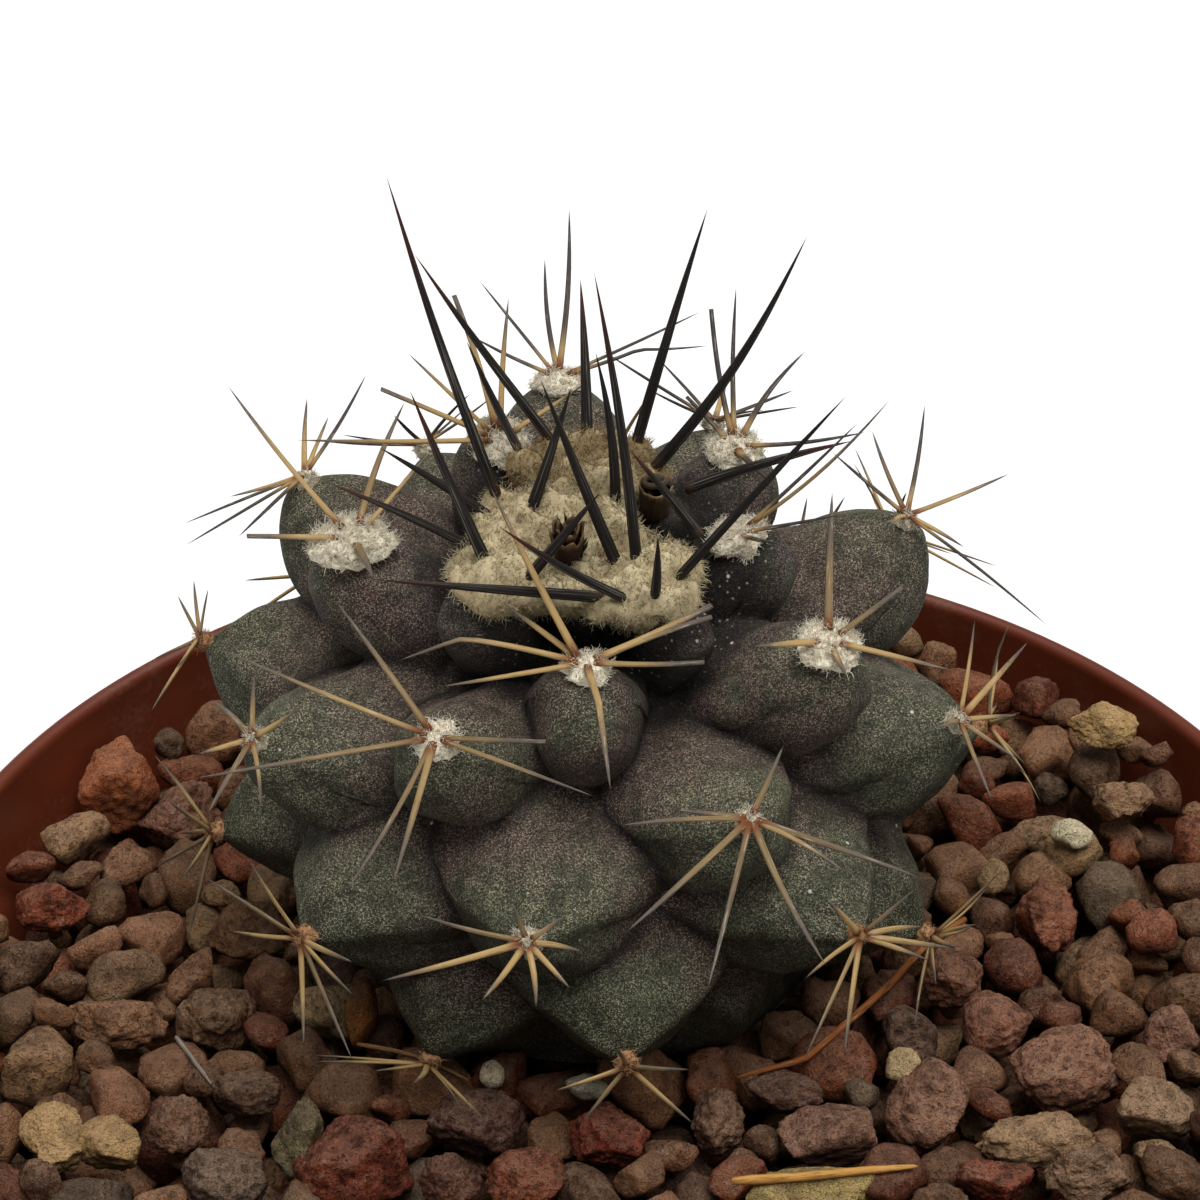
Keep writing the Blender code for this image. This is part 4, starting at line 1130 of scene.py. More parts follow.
def bent_clear(frame_here, centre, width, spine, others):
    """Root and tip of a spine, turned as little as it needs to clear what is round it, or None."""
    hour, splay, millimetres = spine
    for step in range(TRIES):
        for turn, lift in ((0, 1), (1, 0), (-1, 0), (1, 1), (-1, 1)):
            way = (hour + HOUR_STEP * step * turn, max(splay - SPLAY_STEP * step * lift, LEAST_SPLAY))
            root = centre + spine_direction(frame_here, way[0], 90) * SPINE_RING * width
            tip = root + spine_direction(frame_here, *way) * millimetres * MM
            if is_clear(root, tip, others):
                return root, tip
    return None


def old_pad(k):
    return k not in PAD_RADII


def pad_radius(k):
    return PAD_RADII.get(k, OLD_PAD_RADIUS) * MM


def crown_segments():
    """Root and tip of each black spine of the growing point."""
    segments = []
    for x, y, azimuth, lean, millimetres in CROWN_SPINES:
        turn = math.radians(azimuth)
        tilt = math.radians(lean)
        root = Vector((x * MM, y * MM, CROWN_SEAT + CROWN_SPINE_ROOT))
        way = Vector((math.sin(tilt) * math.cos(turn), math.sin(tilt) * math.sin(turn), math.cos(tilt)))
        segments.append((root, root + way * millimetres * MM))
    return segments


def areole_segments():
    """Number, root and tip of the spines of every areole, each bent clear of those placed before it."""
    frames = {k: areole_frame(k) for k in range(FIRST_AREOLE, LAST_AREOLE + 1)}
    crown = [(np.array(root), np.array(tip)) for root, tip in crown_segments()]
    pads = {}
    for k, frame_here in frames.items():
        pads[k] = frame_here[0] + frame_here[1] * (GAP + SPINE_SEAT * PAD_HEIGHT)
    placed = {}
    for k, frame_here in frames.items():
        others = list(crown)
        for segments in placed.values():
            others += [(np.array(root), np.array(tip)) for _, root, tip in segments]
        for other, seat in pads.items():
            if other != k:
                reach = frames[other][3] * pad_radius(other)
                others.append((np.array(seat - reach), np.array(seat + reach)))
        placed[k] = []
        for i, spine in enumerate(spines_of(k)):
            segment = bent_clear(frame_here, pads[k], pad_radius(k), spine, others)
            if segment:
                placed[k].append((i, *segment))
    return placed


def unit(vectors):
    return vectors / np.maximum(np.linalg.norm(vectors, axis=-1, keepdims=True), 1e-12)


def turned_points(radius, turn, height):
    """Points at their radius, turn round the axis and height."""
    return np.stack((radius * np.cos(turn), radius * np.sin(turn), height), axis=1)


def ramp(values, slope, start):
    return np.clip(slope * values - start, 0, 1)


def by_polar(polar, table):
    """Value at each angle from the plant's axis, from a table of degrees and values."""
    return np.interp(polar, np.radians(table[0]), table[1])


def noise_at(points, size, seed=0.0):
    """Smooth noise from -1 to 1 at each point, with features of the given size."""
    offset = Vector((seed, 1.7 * seed, -seed))
    return np.array([noise.noise(Vector(point) / size + offset) for point in points])


def swells(points, octaves, seed=0.0, base=0):
    """Noise of several sizes, each given as its strength and size, over a base."""
    return sum((strength * noise_at(points, size, seed) for strength, size in octaves), base)


def linked(name, data):
    """A new object in the scene."""
    item = bpy.data.objects.new(name, data)
    bpy.context.scene.collection.objects.link(item)
    return item


def new_piece(name, mesh, material, replaced, smooth=True):
    """An object for a finished mesh, riding on the frame's body in place of the node that it stands for."""
    mesh.name = name
    mesh.materials.clear()
    mesh.materials.append(material)
    if smooth:
        mesh.shade_smooth()
    piece = linked(name, mesh)
    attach(piece, "root")
    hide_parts(replaced)
    return piece


def mesh_from(bm, name):
    mesh = bpy.data.meshes.new(name)
    bm.to_mesh(mesh)
    bm.free()
    return mesh


def applied(mesh, prepare):
    """The mesh that modifiers give: prepare puts them on a passing object that holds it."""
    holder = linked("holder", mesh)
    prepare(holder)
    graph = bpy.context.evaluated_depsgraph_get()
    result = bpy.data.meshes.new_from_object(holder.evaluated_get(graph))
    bpy.data.objects.remove(holder)
    return result


def copied(mesh, count):
    """The mesh that many times over, in place."""
    def copies(holder):
        array = holder.modifiers.new("Copies", "ARRAY")
        array.count = count
        array.use_relative_offset = False

    return applied(mesh, copies)


def ball_mesh(detail):
    bm = bmesh.new()
    bmesh.ops.create_icosphere(bm, subdivisions=detail, radius=1)
    return mesh_from(bm, "ball")


def tree_of(pieces):
    """The surfaces of some pieces, to measure from."""
    points = []
    faces = []
    for piece in pieces:
        faces += [tuple(v + len(points) for v in p.vertices) for p in piece.data.polygons]
        points += [v.co.copy() for v in piece.data.vertices]
    return BVHTree.FromPolygons(points, faces)


def set_points(mesh, points):
    mesh.vertices.foreach_set("co", np.ascontiguousarray(points, dtype=np.float32).ravel())
    mesh.update()


def get_points(mesh):
    points = np.empty(len(mesh.vertices) * 3, dtype=np.float32)
    mesh.vertices.foreach_get("co", points)
    return points.reshape(-1, 3).astype(float)


def set_attribute(mesh, name, values):
    """A number or a vector for each vertex of the mesh, for its material."""
    values = np.asarray(values, dtype=np.float32)
    if values.ndim == 1:
        mesh.attributes.new(name, "FLOAT", "POINT").data.foreach_set("value", values)
    elif values.shape[1] == 3:
        mesh.attributes.new(name, "FLOAT_VECTOR", "POINT").data.foreach_set("vector", values.ravel())
    else:
        mesh.attributes.new(name, "FLOAT_COLOR", "POINT").data.foreach_set("color", values.ravel())


def spun(profile, steps):
    """A bmesh of a profile of (radius, height), from the axis up the inside and down the outside, turned."""
    bm = bmesh.new()
    points = [bm.verts.new((r, 0, z)) for r, z in profile]
    edges = [bm.edges.new(pair) for pair in zip(points, points[1:])]
    turn = {"cent": (0, 0, 0), "axis": (0, 0, 1), "angle": 2 * math.pi}
    bmesh.ops.spin(bm, geom=points + edges, steps=steps, use_merge=True, **turn)
    bmesh.ops.remove_doubles(bm, verts=bm.verts, dist=MERGED)
    bmesh.ops.recalc_face_normals(bm, faces=bm.faces)
    return bm


def drawn_up(sides, radius, stations, step):
    """A bmesh of a closed disc whose rim is drawn up by a step at each station, with its last ring."""
    bm = bmesh.new()
    bmesh.ops.create_circle(bm, cap_ends=True, segments=sides, radius=radius)
    edges = bm.edges[:]
    for _ in range(1, stations):
        grown = bmesh.ops.extrude_edge_only(bm, edges=edges)["geom"]
        verts = [item for item in grown if isinstance(item, bmesh.types.BMVert)]
        bmesh.ops.translate(bm, verts=verts, vec=(0, 0, step))
        edges = [item for item in grown if isinstance(item, bmesh.types.BMEdge)]
        edges = [edge for edge in edges if all(vert in verts for vert in edge.verts)]
    return bm, verts, edges


def strand_template(sides, stations, blunt):
    """A unit strand up Z: a closed root, a ring at each whole height and a point or a flat end."""
    bm, verts, edges = drawn_up(sides, 1, stations, 1)
    if blunt:
        bmesh.ops.contextual_create(bm, geom=edges)
    else:
        bmesh.ops.pointmerge(bm, verts=verts, merge_co=(0, 0, stations - 1))
    bmesh.ops.recalc_face_normals(bm, faces=bm.faces)
    return mesh_from(bm, "strand")


def strands(paths, radii, sides, shades, blunt=False, flat=1.0, thin_way=None):
    """Tubes along paths of shape (strand, station, 3), with a radius at each station, as one mesh.

    Their section is flat times as thick as it is wide, and thinnest along thin_way where that is given.
    """
    count, stations = paths.shape[:2]
    template = strand_template(sides, stations, blunt)
    local = get_points(template)
    mesh = copied(template, count)
    station = np.rint(local[:, 2]).astype(int)
    way = unit(np.gradient(paths, axis=1))
    overall = np.abs(unit(paths[:, -1] - paths[:, 0]))
    least = np.eye(3)[overall.argmin(axis=1)] if thin_way is None else np.tile(thin_way, (count, 1))
    side = unit(np.cross(way, least[:, None]))
    over = flat * np.cross(way, side)
    ring = local[:, 0, None] * side[:, station] + local[:, 1, None] * over[:, station]
    set_points(mesh, (paths[:, station] + radii[:, station, None] * ring).reshape(-1, 3))
    along = np.broadcast_to(station / (stations - 1), (count, len(local)))
    steps = np.linalg.norm(np.diff(paths, axis=1), axis=2)
    run = np.concatenate((np.zeros((count, 1)), np.cumsum(steps, axis=1)), axis=1)[:, station]
    across = [GRAIN_ACROSS * local[:, i] + GRAIN_SHIFTS[i] * shades[:, None] for i in range(2)]
    grain = np.stack((*across, run / GRAIN_ALONG), axis=2)
    set_attribute(mesh, "along", along.ravel())
    set_attribute(mesh, "shade", np.repeat(shades, len(local)))
    set_attribute(mesh, "grain", grain.reshape(-1, 3))
    return mesh


def joined(meshes):
    """One mesh of several, which keep their attributes."""
    bm = bmesh.new()
    for mesh in meshes:
        bm.from_mesh(mesh)
    return mesh_from(bm, "joined")


def hair_paths(draw, roots, ways, lengths, curl, stations=4):
    """Paths of curling hairs from their roots, which set off along the ways given."""
    paths = [roots]
    way = unit(ways)
    for _ in range(stations - 1):
        paths.append(paths[-1] + way * lengths[:, None] / (stations - 1))
        way = unit(way + curl * draw.normal(size=way.shape))
    return np.stack(paths, axis=1)


def hairs(draw, paths, thickness, shade=0.0):
    """Three-sided hairs along paths, each of its own thickness and shade."""
    count, stations = paths.shape[:2]
    taper = np.linspace(1, HAIR_END, stations)
    radii = thickness * draw.uniform(*HAIR_SPREAD, (count, 1)) * taper
    return strands(paths, radii, 3, shade + draw.uniform(0, HAIR_SHADES, count))


def spread_over(draw, mesh, count, axis, limit):
    """Points and normals spread by area over the faces of a mesh that face along an axis beyond a limit."""
    mesh.calc_loop_triangles()
    corners = np.array([tuple(tri.vertices) for tri in mesh.loop_triangles])
    points = get_points(mesh)[corners]
    normals = np.cross(points[:, 1] - points[:, 0], points[:, 2] - points[:, 0])
    area = np.linalg.norm(normals, axis=1)
    chosen = draw.choice(len(area), 2 * count, p=area / area.sum())
    weights = draw.dirichlet((1, 1, 1), 2 * count)
    roots = (points[chosen] * weights[..., None]).sum(axis=1)
    normals = unit(normals[chosen])
    facing = normals @ axis > limit
    return roots[facing][:count], normals[facing][:count]


def make_pot(settings):
    """Thin-walled pot with a rim band, a rolled lip, a foot ring and drain holes."""
    band = POT_HEIGHT - RIM_BAND
    floor = FLOOR_LIFT + WALL
    lip = settings.lip
    rolled = []
    for turn in np.radians(np.linspace(*LIP_ARC, LIP_POINTS)):
        rolled.append((RIM_RADIUS - lip + lip * math.cos(turn), POT_HEIGHT - lip + lip * math.sin(turn)))
    profile = [
        (0, floor),
        (wall_radius(floor) - WALL - INNER_CORNER, floor),
        (wall_radius(floor) - WALL, floor + INNER_CORNER),
        (wall_radius(band) - WALL, band - INNER_CORNER),
        (wall_radius(band) - WALL + BAND_EASE, band),
        (RIM_RADIUS - 2 * lip, band + BAND_RISE),
        *rolled,
        (RIM_RADIUS - BAND_EDGE[0], band + BAND_EASE),
        (RIM_RADIUS - BAND_EDGE[1], band + BAND_EDGE[0]),
        (wall_radius(band) + STEP_EASE, band),
        (wall_radius(band), band - STEP_EASE),
        (wall_radius(2 * FOOT_EDGE), 2 * FOOT_EDGE),
        (BASE_RADIUS - 0.15 * FOOT_EDGE, 0.4 * FOOT_EDGE),
        (BASE_RADIUS - FOOT_EDGE, 0),
        (BASE_RADIUS - FOOT_WIDTH, 0),
        (BASE_RADIUS - FOOT_WIDTH - FOOT_EDGE, FLOOR_LIFT),
        (0, FLOOR_LIFT),
    ]
    pot = mesh_from(spun(profile, POT_STEPS), "pot")
    bm = bmesh.new()
    for i in range(DRAIN_HOLES):
        turn = 2 * math.pi * (i + 0.5) / DRAIN_HOLES
        place = Matrix.Translation((DRAIN_RING * math.cos(turn), DRAIN_RING * math.sin(turn), floor))
        sizes = {"radius1": DRAIN_RADIUS, "radius2": DRAIN_RADIUS, "depth": DRILL_DEPTH}
        bmesh.ops.create_cone(bm, cap_ends=True, segments=DRILL_SIDES, matrix=place, **sizes)
    drills = linked("drills", mesh_from(bm, "drills"))

    def drill(holder):
        boolean = holder.modifiers.new("Holes", "BOOLEAN")
        boolean.object = drills
        boolean.operation = "DIFFERENCE"

    mesh = applied(pot, drill)
    bpy.data.objects.remove(drills)
    mesh.shade_smooth()
    mesh.set_sharp_from_angle(angle=SHARP_ANGLE)
    new_piece("plastic_pot", mesh, plastic_finish(settings), "pot", smooth=False)


def stone_tops(x, y):
    """Height of the gravel's surface."""
    share = (x * x + y * y) / wall_radius(STONE_TOPS) ** 2
    return STONE_LEVEL + STONE_RISE * share**2 + STONE_SLOPE * x


def signed_gap(tree, point):
    """Distance from a point to the body's skin, negative inside it."""
    place, normal, _, gap = tree.find_nearest(point)
    return math.copysign(gap, (point - place).dot(normal))


class Pile:
    """Stones dropped one by one: their centres, radii and, where the photo gives them, sizes and tone."""

    def __init__(self, settings, tree):
        self.settings = settings
        self.tree = tree
        self.draw = np.random.default_rng(STONE_SEED)
        self.centres = np.empty((0, 3))
        self.radii = np.empty(0)
        self.marked = {}

    def add(self, centre, radius, mark=None):
        if mark:
            self.marked[len(self.radii)] = mark
        self.centres = np.vstack((self.centres, centre))
        self.radii = np.append(self.radii, radius)

    def rest(self, spots, radius):
        """Height at which a stone's centre comes to rest at each spot."""
        heights = np.full(len(spots), FILL_TOP + SOIL_SEAT * radius)
        if not len(self.radii):
            return heights
        apart = np.linalg.norm(spots[:, None] - self.centres[:, :2], axis=2)
        touch = TOUCH * (radius + self.radii)
        rise = self.centres[:, 2] + np.sqrt(np.maximum(touch**2 - apart**2, 0))
        return np.maximum(heights, np.where(apart < touch, rise, 0).max(axis=1))

    def fill(self, under, misses_allowed, spread=EVEN_SPREAD):
        """Drops stones where they lie lowest among a few tries, until they miss too often."""
        settings = self.settings
        draw = self.draw
        misses = 0
        while misses < misses_allowed:
            radius = settings.smallest + (settings.largest - settings.smallest) * draw.beta(*SIZE_DRAW)
            radius *= 1 - LAST_SHRINK * misses / misses_allowed
            wall = wall_radius(STONE_TOPS) - WALL - GAP - WALL_CLEAR * radius
            reach = wall * draw.uniform(0, 1, settings.tries) ** spread
            turn = draw.uniform(0, 2 * math.pi, settings.tries)
            spots = np.stack((reach * np.cos(turn), reach * np.sin(turn)), axis=1)
            heights = self.rest(spots, radius)
            placed = False
            for i in np.argsort(heights):
                if heights[i] + UNDER_TOP * radius > stone_tops(*spots[i]) - under:
                    continue
                place = Vector((*spots[i], heights[i]))
                if signed_gap(self.tree, place) > PLANT_CLEAR * radius:
                    self.add(place, radius)
                    placed = True
                    break
            misses = 0 if placed else misses + 1

    def mark(self, stone, loose):
        """Places a stone of the photo at its pixel, in the surface or loose on top of what is there."""
        pixel_x, pixel_y, wide, high, *_ = stone
        radius = (wide + high) / 4 * MM
        place = seen_at(pixel_x, pixel_y, STONE_LEVEL)
        place = seen_at(pixel_x, pixel_y, stone_tops(place.x, place.y) - MARK_SINK * high * MM)
        if loose:
            height = self.rest(np.array(place.xy)[None], LOOSE_TOUCH * radius)[0]
            place = seen_at(pixel_x, pixel_y, height)
            place.z = self.rest(np.array(place.xy)[None], LOOSE_TOUCH * radius)[0]
        else:
            self.prop(place, radius)
        self.add(place, radius, stone)

    def prop(self, place, radius):
        """Adds the stone that holds up one whose centre is above its place of rest."""
        spot = np.array(place.xy)[None]
        if self.rest(spot, radius)[0] > place.z - PROP_SLACK:
            return
        sizes = np.linspace(*PROP_SIZES, PROP_CHOICES) * MM
        tops = np.array([self.rest(spot, size)[0] + TOUCH * (size + radius) for size in sizes])
        size = sizes[np.abs(tops - place.z).argmin()]
        self.add((place.x, place.y, self.rest(spot, size)[0]), size)


def stone_points(draw, directions, radius, sizes=None):
    """A broken stone: a ball cut by planes, lumpy and pitted, of the sizes given or flatter than long."""
    cuts = unit(draw.normal(size=(draw.integers(*CUT_COUNTS), 3)))
    depths = draw.uniform(*CUT_DEPTHS, len(cuts))
    sharpness = draw.uniform(*CUT_SHARPNESS)
    pressed = (np.maximum(directions @ cuts.T, 0) / depths) ** sharpness
    reach = (pressed.sum(axis=1) + UNCUT**sharpness) ** (-1 / sharpness)
    points = directions * reach[:, None]
    seed = draw.uniform(0, SEEDS)
    rough = draw.uniform(*STONE_ROUGHNESS)
    octaves = STONE_SWELLS + ((FINE_SWELL,) if len(directions) > FINE_STONE else ())
    points *= (1 + rough * swells(points, octaves, seed))[:, None]
    if sizes:
        points *= np.array((*sizes, MARK_THICKNESS * sizes[1])) * MM / np.ptp(points, axis=0)
        return points - (points.max(axis=0) + points.min(axis=0)) / 2
    points *= [draw.uniform(*limits) for limits in STONE_STRETCH]
    tips = [Matrix.Rotation(draw.normal(0, STONE_TIP), 3, axis) for axis in "XY"]
    turn = Matrix.Rotation(draw.uniform(0, 2 * math.pi), 3, "Z") @ (tips[0] @ tips[1])
    return radius * (points @ np.array(turn).T)


def stones_mesh(pile, draw, chosen, detail):
    """The chosen stones as one mesh, each with its tint and its share of pores."""
    template = ball_mesh(detail)
    directions = unit(get_points(template))
    mesh = copied(template, len(chosen))
    tones = np.array([linear(*tone) for _, tone in STONE_TONES])
    shares = np.array([share for share, _ in STONE_TONES])
    kinds = draw.choice(len(tones), len(chosen), p=shares / shares.sum())
    tints = tones[kinds] * draw.normal(1, TONE_STRAY, (len(chosen), 1))
    tints *= draw.normal(1, HUE_STRAY, (len(chosen), 3))
    pores = draw.beta(*PORE_DRAW, len(chosen))
    points = []
    for i, stone in enumerate(chosen):
        *_, wide, high, tone, porous = pile.marked.get(stone, (None,) * 6)
        if tone:
            tints[i] = linear(*tone)
            pores[i] = porous
        shape = stone_points(draw, directions, pile.radii[stone], tone and (wide, high))
        points.append(shape + pile.centres[stone])
    points = np.concatenate(points)
    inside = np.minimum(wall_radius(points[:, 2]) - WALL, RIM_RADIUS - LIP_WIDTH) - GAP
    points[:, :2] *= np.minimum(1, inside / np.hypot(points[:, 0], points[:, 1]))[:, None]
    set_points(mesh, points)
    # Painted light: stones further back are made lighter
    tints *= np.interp(pile.centres[chosen, 1], *FAR_PAINTED_LIGHT)[:, None]
    tints = np.clip(np.column_stack((tints * DUST, np.ones(len(chosen)))), 0, 1)
    set_attribute(mesh, "tint", np.repeat(tints, len(directions), axis=0))
    set_attribute(mesh, "porous", np.repeat(pores, len(directions)))
    return mesh


def make_gravel(settings, body):
    """Soil fill with crushed lava stones piled on it up to the plant and the wall, and dry bits on top."""
    floor = FLOOR_LIFT + WALL + GAP
    outer = wall_radius(FILL_TOP) - WALL - GAP
    profile = [
        (0, FILL_TOP),
        (0.5 * outer, FILL_TOP),
        (outer, FILL_TOP),
        (wall_radius(floor) - WALL - GAP, floor),
        (0, floor),
    ]
    soil = mesh_from(spun(profile, SOIL_STEPS), "soil")
    new_piece("soil_fill", soil, soil_finish(settings), "gravel_bed")
    pile = Pile(settings, tree_of([body]))
    pile.fill(BEDDING, BED_MISSES)
    for stone in MARKED_STONES:
        if min(stone[2:4]) >= LOOSE_SIZE:
            pile.mark(stone, False)
    pile.fill(0, PILE_MISSES)
    pile.fill(0, WALL_MISSES, WALL_SPREAD)
    for stone in MARKED_STONES:
        if min(stone[2:4]) < LOOSE_SIZE:
            pile.mark(stone, True)
    centres = pile.centres
    draw = np.random.default_rng(STONE_SEED + 1)
    depth = stone_tops(centres[:, 0], centres[:, 1]) - centres[:, 2] - TOP_SHARE * pile.radii
    hidden = depth > HIDDEN_DEPTH
    near = ~hidden & (centres[:, 1] < NEAR_EDGE) & (depth < NEAR_DEPTH)
    finest = [stone for stone, mark in pile.marked.items() if min(mark[2:4]) >= FINE_SIZE]
    chosen = np.isin(np.arange(len(centres)), finest)
    groups = {
        "chosen": chosen,
        "near": near & ~chosen,
        "far": ~hidden & ~near & ~chosen,
        "under": hidden & ~chosen,
    }
    finish = stone_finish()
    pieces = []
    for name, group in groups.items():
        mesh = stones_mesh(pile, draw, np.flatnonzero(group), STONE_DETAILS[name])
        pieces.append(new_piece(f"stones_{name}", mesh, finish, "gravel_bed"))
    # The hidden stones are the last piece and carry nothing
    make_dry_bits(pieces[:-1])


def make_dry_bits(stones):
    """Stalks and slivers that lie across the tops of the stones."""
    tree = tree_of(stones)

    def ground(place):
        hit = tree.ray_cast(Vector((place.x, place.y, POT_HEIGHT)), Vector((0, 0, -1)))[0]
        return hit.z if hit else STONE_LEVEL

    bridged = [slice(max(i - BIT_BRIDGE, 0), i + BIT_BRIDGE + 1) for i in range(BIT_STATIONS)]
    window = 2 * BIT_BRIDGE + 1
    meshes = []
    for pixels, radius, tone in DRY_BITS:
        share = np.linspace(0, len(pixels) - 1, BIT_STATIONS)
        across, downward = (np.interp(share, range(len(pixels)), line) for line in zip(*pixels))
        heights = np.full(BIT_STATIONS, STONE_LEVEL)
        for _ in range(BIT_ROUNDS):
            path = [seen_at(*spot) for spot in zip(across, downward, heights)]
            heights = np.array([ground(p) for p in path]) + BIT_LIFT * radius * MM
            heights = np.array([heights[stations].max() for stations in bridged])
            heights = np.convolve(np.pad(heights, BIT_BRIDGE, "edge"), np.ones(window) / window, "valid")
        path = np.array([seen_at(*spot) for spot in zip(across, downward, heights)])
        radii = radius * MM * np.interp(np.linspace(0, 1, BIT_STATIONS), *BIT_TAPER)
        mesh = strands(path[None], radii[None], BIT_SIDES, np.array([0.5]))
        set_attribute(mesh, "tint", np.tile((*linear(*tone), 1), (len(mesh.vertices), 1)))
        meshes.append(mesh)
    new_piece("dry_bits", joined(meshes), litter_finish(), "gravel_bed")


def make_body(settings):
    """The head of the cactus, tubercled by the same rule as the solid, with finer swells in its skin."""
    bm = bmesh.new()
    bmesh.ops.create_cube(bm, size=2)
    bmesh.ops.subdivide_edges(bm, edges=bm.edges, cuts=settings.detail, use_grid_fill=True)
    mesh = mesh_from(bm, "body")
    ball = unit(np.tan(get_points(mesh) * math.pi / 4))
    polar = np.arccos(np.clip(ball[:, 2], -1, 1))
    polar = np.interp(polar, (0, COLLAR_ON_BALL, math.pi), (0, COLLAR_POLAR, math.pi))
    azimuth = np.arctan2(ball[:, 1], ball[:, 0])
    directions = turned_points(np.sin(polar), azimuth, np.cos(polar))
    near = np.arccos(np.clip(directions @ CHINS.T, -1, 1))
    free = np.clip((near / HALF_WIDTHS).min(axis=1) / SWAY_RAMP[0] - SWAY_RAMP[1], 0, 1)[:, None]
    sway = np.stack([noise_at(directions, SWAY_SIZE, seed) for seed in SWAY_SEEDS], axis=1)
    directions = unit(directions + SKIN_SWAY * free * sway)
    reaches = grown_reaches(directions)
    ranked = np.sort(reaches, axis=1)
    owner = reaches.argmax(axis=1)
    near = np.arccos(np.clip((directions * CHINS[owner]).sum(axis=1), -1, 1)) / HALF_WIDTHS[owner]
    lead = ranked[:, -1] - ranked[:, -2]
    crease_shade = np.exp(-lead / by_polar(polar, CREASE_WIDTHS))
    sharpness = by_polar(polar, VALLEY_SHARPNESS)[:, None]
    softened = np.log(np.exp(sharpness * (reaches - ranked[:, -1:])).sum(axis=1)) / sharpness[:, 0]
    reach = np.maximum(ranked[:, -1] + softened, 1 - DEEPEST)
    reach += swells(directions, SKIN_SWELLS)
    points = body_points(directions, reach)
    chins = CHINS[owner]
    down = unit(chins * chins[:, 2:] - np.array((0, 0, 1)))
    below = ((directions - chins) * down).sum(axis=1) / HALF_WIDTHS[owner]
    held = np.where(below > 0, ramp(below, *SAG_BELOW), ramp(near, *SAG_ABOVE))
    on_head = np.clip((COLLAR_POLAR - COLLAR_BLEND - polar) / COLLAR_BLEND, 0, 1)
    sag = SKIN_SAG * held * on_head * (1 - np.exp(-lead / SAG_FADE)) * (points[:, 2] < SAG_TOP)
    points += sag[:, None] * unit(down * SPHEROID)
    matrix = np.array(plant_matrix())
    set_points(mesh, points @ matrix[:3, :3].T + matrix[:3, 3])
    # Purple and painted shade of the valleys
    bottom = VALLEY_BOTTOM[0] * np.exp(-lead / VALLEY_BOTTOM[1])
    set_attribute(mesh, "valley", np.clip(VALLEY_SLOPE * near, 0, 1) + bottom)
    # Painted shade along the creases between tubercles and on the low skin round the wool
    beside = np.clip((WOOL_REACH + CROWN_SHADE - np.hypot(points[:, 0], points[:, 1])) / CROWN_SHADE, 0, 1)
    low = np.clip((CROWN_SEAT + LOW_SKIN - points[:, 2]) / LOW_SKIN, 0, 1) * (polar < math.pi / 2)
    crease_shade *= np.clip((COLLAR_POLAR - polar) / COLLAR_BLEND, 0, 1)
    set_attribute(mesh, "crease_shade", np.maximum(crease_shade, CROWN_DARKNESS * beside * low))
    set_attribute(mesh, "young", np.clip(1 - polar / OLD_POLAR, 0, 1))
    new_piece("cactus_skin_body", mesh, skin_finish(settings), "cactus_body")


def to_world(mesh):
    mesh.transform(plant_matrix())
    return mesh


def spine_paths(segments, draw, stations, key=None):
    """Paths along straight spines, each bowed a little, with the kinked ones turned past their kink."""
    share = np.linspace(0, 1, stations)
    paths = []
    for i, root, tip in segments:
        run = tip - root
        side = run.orthogonal().normalized()
        side.rotate(Matrix.Rotation(draw.uniform(0, 2 * math.pi), 3, run))
        bow = draw.normal(0, SPINE_BOW) * run.length
        path = [root + run * s + side * bow * math.sin(math.pi * s) for s in share]
        if (key, i) in KINKS:
            start, turn = KINKS[(key, i)]
            pivot = root + run * start
            down = run.cross(Vector((0, 0, 1))).normalized()
            turned = Matrix.Rotation(math.radians(-turn), 3, down)
            path = [p if s <= start else pivot + turned @ (p - pivot) for p, s in zip(path, share)]
        paths.append([tuple(p) for p in path])
    return np.array(paths)


def make_areole_spines(k, segments, settings, material):
    """The spines of an areole, the blunt ones apart from the pointed ones because their ends differ."""
    draw = np.random.default_rng(SPINE_SEED + k)
    share = np.linspace(0, 1, SPINE_STATIONS)
    outward = np.array(areole_frame(k)[1])
    meshes = []
    for blunt in (False, True):
        some = [segment for segment in segments if ((k, segment[0]) in BLUNT) == blunt]
        if not some:
            continue
        paths = spine_paths(some, draw, SPINE_STATIONS, k)
        taper = 1 - SPINE_THINNING * share - (0 if blunt else POINT_THINNING) * share**4
        swell = 1 + ROOT_SWELL[0] * np.exp(-share / ROOT_SWELL[1])
        stout = settings.radius * STOUT_AREOLES.get(k, 1)
        radii = stout * draw.uniform(*SPINE_STOUTNESS, (len(some), 1)) * taper * swell
        shades = draw.uniform(*(GREY_SHADES if k in GREY_AREOLES else SPINE_SHADES), len(some))
        shades += draw.uniform(0, 1, len(some)) < DARK_AREOLES.get(k, 0)
        meshes.append(strands(paths, radii, SPINE_SIDES, shades, blunt, SPINE_FLATNESS, outward))
    mesh = to_world(joined(meshes))
    new_piece(f"areole_spines_{k:02d}", mesh, material, f"areole_{k:02d}")


